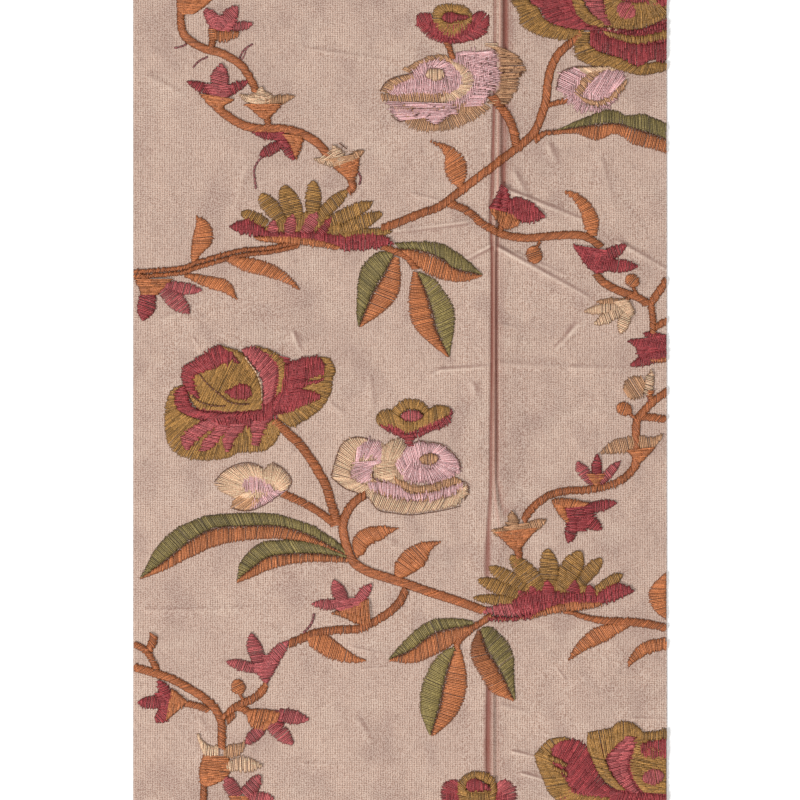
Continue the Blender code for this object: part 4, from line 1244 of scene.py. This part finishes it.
# Berries, eyes and the flowers' hearts. Turn is in degrees
Oval = namedtuple("Oval", "thread x y half_x half_y turn level")
OVALS = (
    Oval("rust", 534, 255, 8.5, 8.5, 70, 3),
    Oval("rust", 632, 281, 7.0, 7.0, 40, 3),
    Oval("rust", 624, 409, 7.5, 7.0, 20, 3),
    Oval("rust", 238, 687, 7.5, 7.5, 65, 3),
    Oval("rose", 626, 11, 9.5, 9.5, 30, 7),
    Oval("rose", 653, 777, 10.5, 9.0, -10, 7),
    Oval("rose", 412, 416, 10.5, 6.0, 0, 7),
    Oval("crimson", 450, 17.5, 7.5, 5.8, 0, 6),
    Oval("crimson", 458, 18, 11.0, 3.4, 0, 6),
    Oval("tan", 429, 459, 9.0, 6.0, -5, 6),
    Oval("cream", 435, 75, 9.0, 6.5, 0, 6),
    Oval("umber", 604, 28, 1.6, 1.6, 0, 6),
    Oval("cream", 609, 29, 1.8, 1.8, 0, 6),
    Oval("cream", 616, 31, 1.8, 1.8, 0, 6),
)

# Thin lines: tendrils, outlines, the lines between a flower's folds, the dark ones painting the shade
# there, and a line of painted shadow at a pale lily's edge
Line = namedtuple("Line", "thread width level points")
LINES = (
    Line("mulberry", 2.2, 1, ((187, 44), (181, 47), (174, 48))),
    Line("mulberry", 2.2, 1, ((208, 57), (201, 60), (197, 63), (193, 68))),
    Line("mulberry", 2.2, 1, ((239, 61), (241, 55), (245, 49), (253, 44))),
    Line("mulberry", 2.4, 1, ((263, 156), (257, 163), (254, 171), (255, 180), (256, 189))),
    Line("mulberry", 2.8, 1, ((303, 633), (309, 627), (313, 620), (314, 613))),
    # painted shadow along the pale lily's right edge
    Line("mulberry", 2.4, 1, ((358, 172), (361, 178), (359, 185))),
    Line("mulberry", 1.6, 1, ((242, 60), (245, 54), (247, 47))),
    Line("umber", 1.2, 3, ((339, 143), (343, 146), (347, 149))),
    Line("crimson", 2.2, 1, ((649, 392), (648, 398), (650, 403))),
    # painted shade: dark lines between the big rose's folds
    Line("umber", 1.8, 8,
        ((199, 373), (205, 381), (212, 388), (221, 395), (228, 401), (238, 404), (250, 404))),
    Line("umber", 1.6, 8, ((192, 396), (199, 401), (206, 404), (216, 406), (226, 406))),
    Line("umber", 1.5, 8, ((286, 365), (289, 378), (286, 391), (278, 402))),
    Line("cream", 1.5, 8, ((245, 357), (251, 365), (257, 374), (261, 385), (262, 394), (262, 401))),
    Line("umber", 0.95, 1, ((331, 476), (336, 458), (342, 444), (355, 437), (368, 439))),
    Line("umber", 0.95, 1, ((331, 477), (344, 488), (357, 493), (370, 499))),
    Line("umber", 1.3, 5, ((373, 471), (373, 478), (379, 481), (388, 483))),
    Line("umber", 0.85, 3,
        ((409, 447), (418, 441), (428, 442), (441, 444), (451, 451), (460, 462), (460, 470))),
    Line("umber", 0.85, 3,
        ((397, 486), (416, 493), (434, 491), (452, 486), (464, 481), (469, 490), (464, 501))),
    Line("umber", 0.85, 2,
        ((370, 499), (378, 510), (392, 513), (410, 515), (427, 513), (445, 510), (461, 506))),
    Line("umber", 0.85, 2, ((214, 482), (224, 471), (238, 464), (252, 463), (263, 468))),
    Line("umber", 0.85, 2, ((272, 462), (284, 469), (292, 481), (288, 490))),
    Line("umber", 0.85, 2, ((232, 508), (242, 511), (253, 510), (266, 504), (280, 495))),
    Line("umber", 0.85, 3, ((556, 90), (561, 73), (575, 67), (590, 67), (609, 66), (624, 70))),
    Line("umber", 0.85, 3, ((380, 92), (385, 83), (396, 77), (412, 73), (421, 63), (436, 58))),
    Line("umber", 0.95, 3, ((391, 115), (400, 122), (410, 118), (419, 113))),
    Line("umber", 0.95, 3, ((420, 113), (428, 119), (436, 125), (444, 117), (454, 114))),
)

# Dark dashes strewn over the pale flowers, between two sides
Dashes = namedtuple("Dashes", "thread count first second")
DASHES = (
    Dashes("umber", 38, ((462, 52), (478, 50), (497, 50)), ((476, 100), (488, 98), (498, 92))),
    Dashes("umber", 18, ((400, 106), (430, 107), (462, 104)), ((400, 117), (430, 119), (452, 112))),
    Dashes("umber", 26, ((503, 52), (514, 56), (524, 66)), ((503, 92), (512, 90), (518, 84))),
    Dashes("tan", 26, ((336, 150), (346, 148), (360, 150)), ((336, 162), (346, 164), (358, 164))),
    Dashes("tan", 18, ((246, 94), (258, 93), (270, 95)), ((250, 102), (258, 103), (268, 101))),
)

# How the leaves and the patches are stitched. The rose at the top right is darkened with painted
# shade, as that corner lies in the fold's shade
LEAF_SLANT = 3.0
LEAF_LONGEST = 30.0
RIB_WIDTH = 1.1
PLAIN_LEAF_SLANT = -1.5
PLAIN_LEAF_LONGEST = 24.0
PLAIN_LEAF_TONE = 0.08
PATCH_LONGEST = 12.0
PATCH_RAGGED = {"crimson": 1.2, "rose": 1.2}
PLAIN_PATCH_RAGGED = 0.7
PALE_LONGEST = 26.0
PALE_RAGGED = {"lilac": 2.0}
PLAIN_PALE_RAGGED = 0.9
PALE_DOME = 0.16 * MM
PALE_THIN = 0.92
OPEN_THIN = 0.80
TOP_RIGHT_PAINTED_SHADE = -0.12
TOP_RIGHT_LEFT, TOP_RIGHT_FOOT = 500, 110


def sew_pattern():
    """Sews the tables above onto the cloth, the lowest layers first."""
    for row in STEMS:
        stem(row.points, row.width)
    for row in TWO_TONE_LEAVES:
        satin("green", row.green, row.rib, slant=LEAF_SLANT, level=1, tone=row.green_tone,
              longest=LEAF_LONGEST)
        satin("rust", row.orange, row.rib, slant=LEAF_SLANT, level=1, tone=row.orange_tone,
              longest=LEAF_LONGEST, fade=DARK_START.get(row.name, (0.0, 0.0)))
        running(row.rib, RIB_WIDTH, level=2)
    for row in LEAVES:
        satin("rust", row.upper, row.lower, slant=PLAIN_LEAF_SLANT, level=1, tone=PLAIN_LEAF_TONE,
              longest=PLAIN_LEAF_LONGEST)
    for row in PETALS:
        base, tip = (row.x, row.y), (row.tip_x, row.tip_y)
        petal(row.thread, base, tip, row.width, row.level, row.belly, row.spread)
    for row in PATCHES:
        x, y = row.first[0]
        # patches at the top right are darkened with painted shade
        tone = TOP_RIGHT_PAINTED_SHADE if x > TOP_RIGHT_LEFT and y < TOP_RIGHT_FOOT else 0.0
        satin(row.thread, row.first, row.second, row.pitch, level=row.level, tone=tone,
              ragged=PATCH_RAGGED.get(row.thread, PLAIN_PATCH_RAGGED), longest=PATCH_LONGEST)
    for row in PALE_PATCHES:
        thin = OPEN_THIN if row.pitch == OPEN else PALE_THIN
        satin(row.thread, row.first, row.second, row.pitch, level=row.level, thin=thin,
              dome=PALE_DOME, ragged=PALE_RAGGED.get(row.thread, PLAIN_PALE_RAGGED),
              longest=PALE_LONGEST)
    for row in OVALS:
        upper, lower = oval_sides(row.x, row.y, row.half_x, row.half_y, row.turn)
        satin(row.thread, upper, lower, level=row.level)
    for row in LINES:
        running(row.points, row.width, row.thread, row.level)
    for row in DASHES:
        dashes(row.thread, row.first, row.second, row.count)


# Materials


def paint(colour):
    """A colour of the tables, from 0 to 255, as the light values that a shader takes."""
    shares = [value / 255.0 for value in colour]
    return (*(v / 12.92 if v <= 0.04045 else ((v + 0.055) / 1.055) ** 2.4 for v in shares), 1.0)


class Socket:
    """A number in a material, so that Python's operators add its Math nodes."""

    def __init__(self, nodes, link):
        self.nodes, self.link = nodes, link

    def maths(self, operation, *others):
        return self.nodes.add("ShaderNodeMath", {"operation": operation}, (self, *others))

    def __add__(self, other):
        return self.maths("ADD", other)

    def __sub__(self, other):
        return self.maths("SUBTRACT", other)

    def __mul__(self, other):
        return self.maths("MULTIPLY", other)

    def __rsub__(self, other):
        return (self * -1.0).maths("ADD", other)

    def sine(self):
        return self.maths("SINE")

    def between(self, low, high):
        """0 below low, 1 above high, eased in between."""
        sockets = {"Value": self, "From Min": low, "From Max": high}
        return self.nodes.add("ShaderNodeMapRange", {"interpolation_type": "SMOOTHSTEP"}, sockets)


class Nodes:
    """A new material's nodes."""

    def __init__(self, name, roughness, specular):
        self.material = bpy.data.materials.new(name)
        self.material.use_nodes = True
        self.tree = self.material.node_tree
        self.shader = self.tree.nodes["Principled BSDF"]
        self.shader.inputs["Roughness"].default_value = roughness
        self.shader.inputs["Specular IOR Level"].default_value = specular

    def add(self, kind, settings, sockets=(), output=0):
        """Adds a node, sets it, then gives its sockets their values or links."""
        node = self.tree.nodes.new(kind)
        for name, value in settings.items():
            setattr(node, name, value)
        named = sockets.items() if isinstance(sockets, dict) else enumerate(sockets)
        for name, value in named:
            self.put(node.inputs[name], value)
        return Socket(self, node.outputs[output])

    def put(self, target, value):
        if isinstance(value, Socket):
            self.tree.links.new(value.link, target)
        else:
            target.default_value = value

    def spot(self):
        return self.add("ShaderNodeTexCoord", {}, output="Object")

    def attribute(self, name):
        return self.add("ShaderNodeAttribute", {"attribute_name": name}, output="Fac")

    def two_axes(self, source):
        """The first two parts of some coordinates, each as a number."""
        parts = self.tree.nodes.new("ShaderNodeSeparateXYZ")
        self.put(parts.inputs[0], source)
        return Socket(self, parts.outputs[0]), Socket(self, parts.outputs[1])

    def noise(self, source, scale, detail):
        return self.add("ShaderNodeTexNoise", {}, {"Vector": source, "Scale": scale, "Detail": detail})

    def long_noise(self, source, across, along, detail):
        """Noise with one scale across the cloth and another along it."""
        scales = {0: source, 1: (across, along, 1.0)}
        stretched = self.add("ShaderNodeVectorMath", {"operation": "MULTIPLY"}, scales)
        return self.noise(stretched, 1.0, detail)

    def mix(self, share, first, second):
        """Colours only: sockets 6 and 7 of a Mix node are its two colours and output 2 its result."""
        sockets = {0: share, 6: first, 7: second}
        return self.add("ShaderNodeMix", {"data_type": "RGBA"}, sockets, output=2)

    def finish(self, colour, height, distance, strength):
        self.put(self.shader.inputs["Base Color"], colour)
        sockets = {"Height": height, "Distance": distance, "Strength": strength}
        self.put(self.shader.inputs["Normal"], self.add("ShaderNodeBump", {}, sockets))
        return self.material


# The weave: fine ribs along the cloth and a closer weft. Noise scales are per metre, the first
# across the cloth and the second along it
RIB_PITCH = 2.4 * PX
WEFT_PITCH = 2.08 * PX
TURN = 2 * math.pi
SILK_CAST = ((221, 187, 167), (203, 169, 152))

# Tones over the silk, in order: a cloud of colour, painted soft shadows, a painted sheen, and broad
# darker reddish patches. Scales of their noise across and along, its detail, where it begins and is
# full, the tone's strength and its colour
Mottle = namedtuple("Mottle", "across along detail low high strength colour")
MOTTLES = (
    Mottle(150.0, 110.0, 5.0, 0.40, 0.70, 0.50, (184, 150, 136)),
    Mottle(78.0, 56.0, 5.0, 0.50, 0.68, 0.62, (152, 116, 107)),
    Mottle(60.0, 90.0, 4.0, 0.54, 0.68, 0.30, (236, 212, 192)),
    Mottle(360.0, 190.0, 4.0, 0.55, 0.72, 0.34, (156, 122, 110)),
)

# Painted light and shade that follow the folds, by the attribute of the cloth that says where: a pink
# line on the crease's ridge, light and shade on the puckers' sides, and red-brown shade in its grooves
FoldTone = namedtuple("FoldTone", "attribute strength colour")
FOLD_TONES = (
    FoldTone("glow", 0.75, (196, 142, 126)),
    FoldTone("lit", 0.60, (226, 203, 186)),
    FoldTone("fold", 0.75, (138, 104, 93)),
    FoldTone("dark", 0.90, (124, 60, 48)),
)


def silk_material():
    """Rose-beige silk: ribs, weft, slubs, a mottled cast with painted shadows and sheen, and painted
    red-brown shade where it is pinched.
    """
    silk = Nodes("silk_ground", roughness=0.62, specular=0.35)
    spot = silk.spot()
    x, y = silk.two_axes(spot)
    wander = silk.noise(spot, 150.0, 2.0)
    drift = silk.long_noise(spot, 420.0, 900.0, 1.0)
    rib = (x * (TURN / RIB_PITCH) + wander * 1.4 + drift * 2.4).sine()
    weft = (y * (TURN / WEFT_PITCH) + wander * 2.6 + drift * 4.4).sine()
    worn = silk.long_noise(spot, 1300.0, 620.0, 1.0).between(0.34, 0.66)
    warp_threads = silk.long_noise(spot, 2700.0, 330.0, 1.0)
    weft_threads = silk.long_noise(spot, 360.0, 2700.0, 1.0)
    slub = silk.long_noise(spot, 380.0, 2300.0, 0.0).between(0.66, 0.80)
    long_slub = silk.long_noise(spot, 2300.0, 300.0, 0.0).between(0.66, 0.80)
    crinkle = silk.long_noise(spot, 62.0, 48.0, 5.0)
    crinkle = 1.0 - ((crinkle - 0.5).maths("ABSOLUTE") * 9.0).between(0.0, 0.5)
    crinkle = crinkle * silk.noise(spot, 30.0, 1.0).between(0.48, 0.60)

    colour = silk.mix(silk.noise(spot, 42.0, 4.0).between(0.36, 0.66), *map(paint, SILK_CAST))
    for tone in MOTTLES:
        noise = silk.long_noise(spot, tone.across, tone.along, tone.detail)
        share = noise.between(tone.low, tone.high) * tone.strength
        colour = silk.mix(share, colour, paint(tone.colour))
    grain = silk.noise(spot, 3300.0, 0.0).between(0.35, 0.65)
    # each layer's share and colour, over what is under it
    layers = (
        # painted shade along the fine crinkles
        (crinkle * 0.24, (138, 106, 97)),
        ((rib * 0.5 + 0.5) * (worn * 0.46 + 0.56), (122, 91, 77)),
        ((weft * 0.5 + 0.5) * (0.62 - worn * 0.30), (118, 87, 73)),
        (warp_threads.between(0.38, 0.62) * 0.12, (146, 117, 103)),
        (weft_threads.between(0.38, 0.62) * 0.18, (146, 117, 103)),
        (grain * 0.36, (240, 221, 206)),
        (slub * 0.30 + long_slub * 0.30, (128, 98, 84)),
    )
    for share, tint in layers:
        colour = silk.mix(share, colour, paint(tint))
    for tone in FOLD_TONES:
        colour = silk.mix(silk.attribute(tone.attribute) * tone.strength, colour, paint(tone.colour))
    wrinkle = silk.long_noise(spot, 120.0, 95.0, 2.0)
    height = rib * 0.05 + weft * 0.03 + weft_threads * 0.12 + warp_threads * 0.10 + wrinkle * 2.6
    return silk.finish(colour, height - crinkle * 0.25, distance=0.30 * MM, strength=0.8)


# A thread's twist: its length in millimetres, and how far it leans round the thread
TWIST_LENGTH = 0.55
TWIST_LEAN = 2.2


def thread_material(name):
    """Dyed silk thread with its twist, painted glints, and painted shade at its sides, at the fill's
    edge and where a stitch dips into the cloth.
    """
    colour, dark = THREADS[name].colour, paint(THREADS[name].dark)
    dull = paint(value * 0.84 for value in colour)
    shiny = paint(min(255, value * 1.24 + 16) for value in colour)
    dyed = Nodes("thread_" + name, roughness=0.46, specular=0.45)
    spot = dyed.spot()
    run, around = dyed.two_axes(dyed.add("ShaderNodeUVMap", {"uv_map": "thread"}))
    twist = (run * (TURN / TWIST_LENGTH) + around * TWIST_LEAN).sine()
    layers = (
        (dyed.noise(spot, 260.0, 2.0).between(0.35, 0.70) * 0.30, dull),
        ((twist * 0.5 + 0.5) * 0.14, dark),
        (dyed.noise(spot, 3100.0, 1.0).between(0.32, 0.68) * 0.36, dark),
        # painted glints: paler, shiny specks on the thread
        (dyed.noise(spot, 2500.0, 0.0).between(0.52, 0.74) * 0.34, shiny),
        # painted shade at the thread's sides, between neighbouring stitches
        (around.maths("ABSOLUTE").between(0.30, 1.0) * 0.62, dark),
        # painted shade where the stitch dips into the cloth and along the fill's edge
        (dyed.attribute("tip") * 0.84, dark),
    )
    mixed = paint(colour)
    for share, tint in layers:
        mixed = dyed.mix(share, mixed, tint)
    shaded = {"Value": dyed.attribute("shade"), "Color": mixed}
    mixed = dyed.add("ShaderNodeHueSaturation", {}, shaded)
    return dyed.finish(mixed, twist, distance=0.03 * MM, strength=0.6)


def floor_material(colour):
    """A pale matt board."""
    plain = Nodes("pale_floor", roughness=0.9, specular=0.2)
    grain = plain.noise(plain.spot(), 40.0, 2.0)
    tone = plain.mix(grain * 0.15, paint(colour), paint(value * 0.97 for value in colour))
    return plain.finish(tone, grain, distance=0.02 * MM, strength=0.1)


# How the cloth is divided: even rows and columns, closer columns beside the crease, which they
# follow, and smaller faces near the puckers
ROW_STEP = 1.6 * MM
COLUMN_STEP = 1.6 * MM
FINE_STEP = 0.24 * MM
FINE_REACH = 3.4 * MM
FINE_MIDDLE = 28.4 * MM
CREASE_PULL = 14.0 * MM
CREASE_MIDDLE = 4.0 * PX
REFINE_REACH = 2.4 * MM
REFINE_CUTS = 4
SHARP_ANGLE = 60.0


def column_places():
    """The cloth's columns, from its left edge to its right."""
    edge = CLOTH_WIDTH / 2
    low, high = FINE_MIDDLE - FINE_REACH, FINE_MIDDLE + FINE_REACH
    left = np.linspace(-edge, low, round((low + edge) / COLUMN_STEP), endpoint=False)
    fine = np.linspace(low, high, round(2 * FINE_REACH / FINE_STEP), endpoint=False)
    right = np.linspace(high, edge, round((edge - high) / COLUMN_STEP) + 1)
    return np.concatenate((left, fine, right))


def refine(grid):
    """Smaller faces along the puckers, where the coarse ones would break their lines."""
    places = np.array([vertex.co for vertex in grid.verts])
    close = np.zeros(len(places), dtype=bool)
    for pucker in PUCKERS:
        close |= pucker_reach(pucker, places[:, 0], places[:, 1])[0] < REFINE_REACH
    chosen = [edge for edge in grid.edges if all(close[end.index] for end in edge.verts)]
    bmesh.ops.subdivide_edges(grid, edges=chosen, cuts=REFINE_CUTS, use_grid_fill=True)


def make_cloth():
    """The woven ground: a fine grid on the folds, extruded to the silk's thickness."""
    columns = column_places()
    last, rows = len(columns) - 1, round(CLOTH_LENGTH / ROW_STEP)
    grid = bmesh.new()
    bmesh.ops.create_grid(grid, x_segments=last, y_segments=rows, size=0.5)
    for vertex in grid.verts:
        x, y = columns[round((vertex.co.x + 0.5) * last)], vertex.co.y * CLOTH_LENGTH
        crease = crease_at(y, "left")[0] + CREASE_MIDDLE
        x = x + hump(x - FINE_MIDDLE, CREASE_PULL) * (crease - FINE_MIDDLE)
        vertex.co = (x, y, 0.0)
    grid.verts.index_update()
    refine(grid)
    places = np.array([vertex.co for vertex in grid.verts])
    for vertex, height in zip(grid.verts, lift(places[:, 0], places[:, 1])):
        vertex.co.z = height
    raised = bmesh.ops.extrude_face_region(grid, geom=grid.faces[:], use_keep_orig=True)
    upper = [item for item in raised["geom"] if isinstance(item, bmesh.types.BMVert)]
    bmesh.ops.translate(grid, verts=upper, vec=(0.0, 0.0, SILK_THICKNESS))
    bmesh.ops.recalc_face_normals(grid, faces=grid.faces[:])
    data = bpy.data.meshes.new("silk")
    grid.to_mesh(data)
    grid.free()
    places = np.empty(len(data.vertices) * 3)
    data.vertices.foreach_get("co", places)
    x, y = places[0::3], places[1::3]
    # painted shade in the crease's grooves and beside them, a painted pink line on its ridge, and
    # painted shade and painted light on the puckers' two sides
    set_attribute(data, "dark", groove_shade(x, y))
    set_attribute(data, "glow", painted_ridge_tint(x, y))
    set_attribute(data, "fold", pucker_tone(x, y, SHADED_SIDE))
    set_attribute(data, "lit", pucker_tone(x, y, LIT_SIDE))
    data.shade_smooth()
    data.set_sharp_from_angle(angle=math.radians(SHARP_ANGLE))
    return show("silk", data, silk_material())


def show(name, data, material):
    """Puts a mesh in the scene with its material."""
    data.materials.append(material)
    item = bpy.data.objects.new(name, data)
    bpy.context.scene.collection.objects.link(item)
    return item


def make_threads():
    """One piece of each thread colour, all its stitches joined."""
    return [
        show("thread_" + name, stitch_mesh("thread_" + name, np.vstack(rows)), thread_material(name))
        for name, rows in stitches.items()
    ]


# The surface under the cloth, the camera straight above it, and the light
FLOOR_HALF_WIDTH = 1.5
FLOOR_COLOUR = (250, 250, 250)
CAMERA_LENS = 200.0
SENSOR = 36.0
NEAREST, FARTHEST = 0.05, 10.0
ROOM_LIGHT = 0.34
Lamp = namedtuple("Lamp", "name place size power colour")
LAMPS = (
    Lamp("window", (-1.05, -0.88, 1.12), 0.44, 25.0, (1.0, 0.985, 0.96)),
    Lamp("ceiling", (0.25, 0.35, 1.25), 0.9, 7.8, (1.0, 1.0, 1.0)),
)


def make_floor():
    """The pale surface under the cloth."""
    floor = bmesh.new()
    bmesh.ops.create_grid(floor, x_segments=1, y_segments=1, size=FLOOR_HALF_WIDTH)
    data = bpy.data.meshes.new("floor")
    floor.to_mesh(data)
    floor.free()
    item = show("floor", data, floor_material(FLOOR_COLOUR))
    item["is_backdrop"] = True
    return item


def add_camera():
    """Straight above the cloth, so that the pattern's middle is the picture's."""
    lens = bpy.data.cameras.new("camera")
    lens.lens, lens.sensor_width = CAMERA_LENS, SENSOR
    lens.clip_start, lens.clip_end = NEAREST, FARTHEST
    item = bpy.data.objects.new("camera", lens)
    item.location = (0.0, 0.0, PATTERN_WIDTH * PX * CAMERA_LENS / SENSOR)
    bpy.context.scene.collection.objects.link(item)
    bpy.context.scene.camera = item


def light_scene():
    """An even white room, and soft square lights that face the cloth's middle."""
    scene = bpy.context.scene
    scene.view_settings.view_transform = "Standard"
    scene.world = bpy.data.worlds.new("room")
    scene.world.use_nodes = True
    background = scene.world.node_tree.nodes["Background"]
    background.inputs["Color"].default_value = (1.0, 1.0, 1.0, 1.0)
    background.inputs["Strength"].default_value = ROOM_LIGHT
    for row in LAMPS:
        lamp = bpy.data.lights.new(row.name, "AREA")
        lamp.size, lamp.energy, lamp.color = row.size, row.power, row.colour
        item = bpy.data.objects.new(row.name, lamp)
        item.location = row.place
        item.rotation_mode = "QUATERNION"
        item.rotation_quaternion = (-item.location).to_track_quat("-Z", "Y")
        scene.collection.objects.link(item)


def corners(pair):
    return [list(corner) for corner in pair]


def main():
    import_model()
    solid_box = corners(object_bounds())
    sew_pattern()
    cloth = make_cloth()
    threads = make_threads()
    for piece in (cloth, *threads):
        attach(piece, "root")
    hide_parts("silk_cloth")
    make_floor()
    add_camera()
    light_scene()
    {"solids": solid_box, "shown": corners(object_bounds())}
    print("stitches", {name: int(sum(map(len, rows))) for name, rows in stitches.items()})
    shown = [piece.data for piece in (cloth, *threads)]
    print("triangles", sum(len(data.loops) - 2 * len(data.polygons) for data in shown))


main()
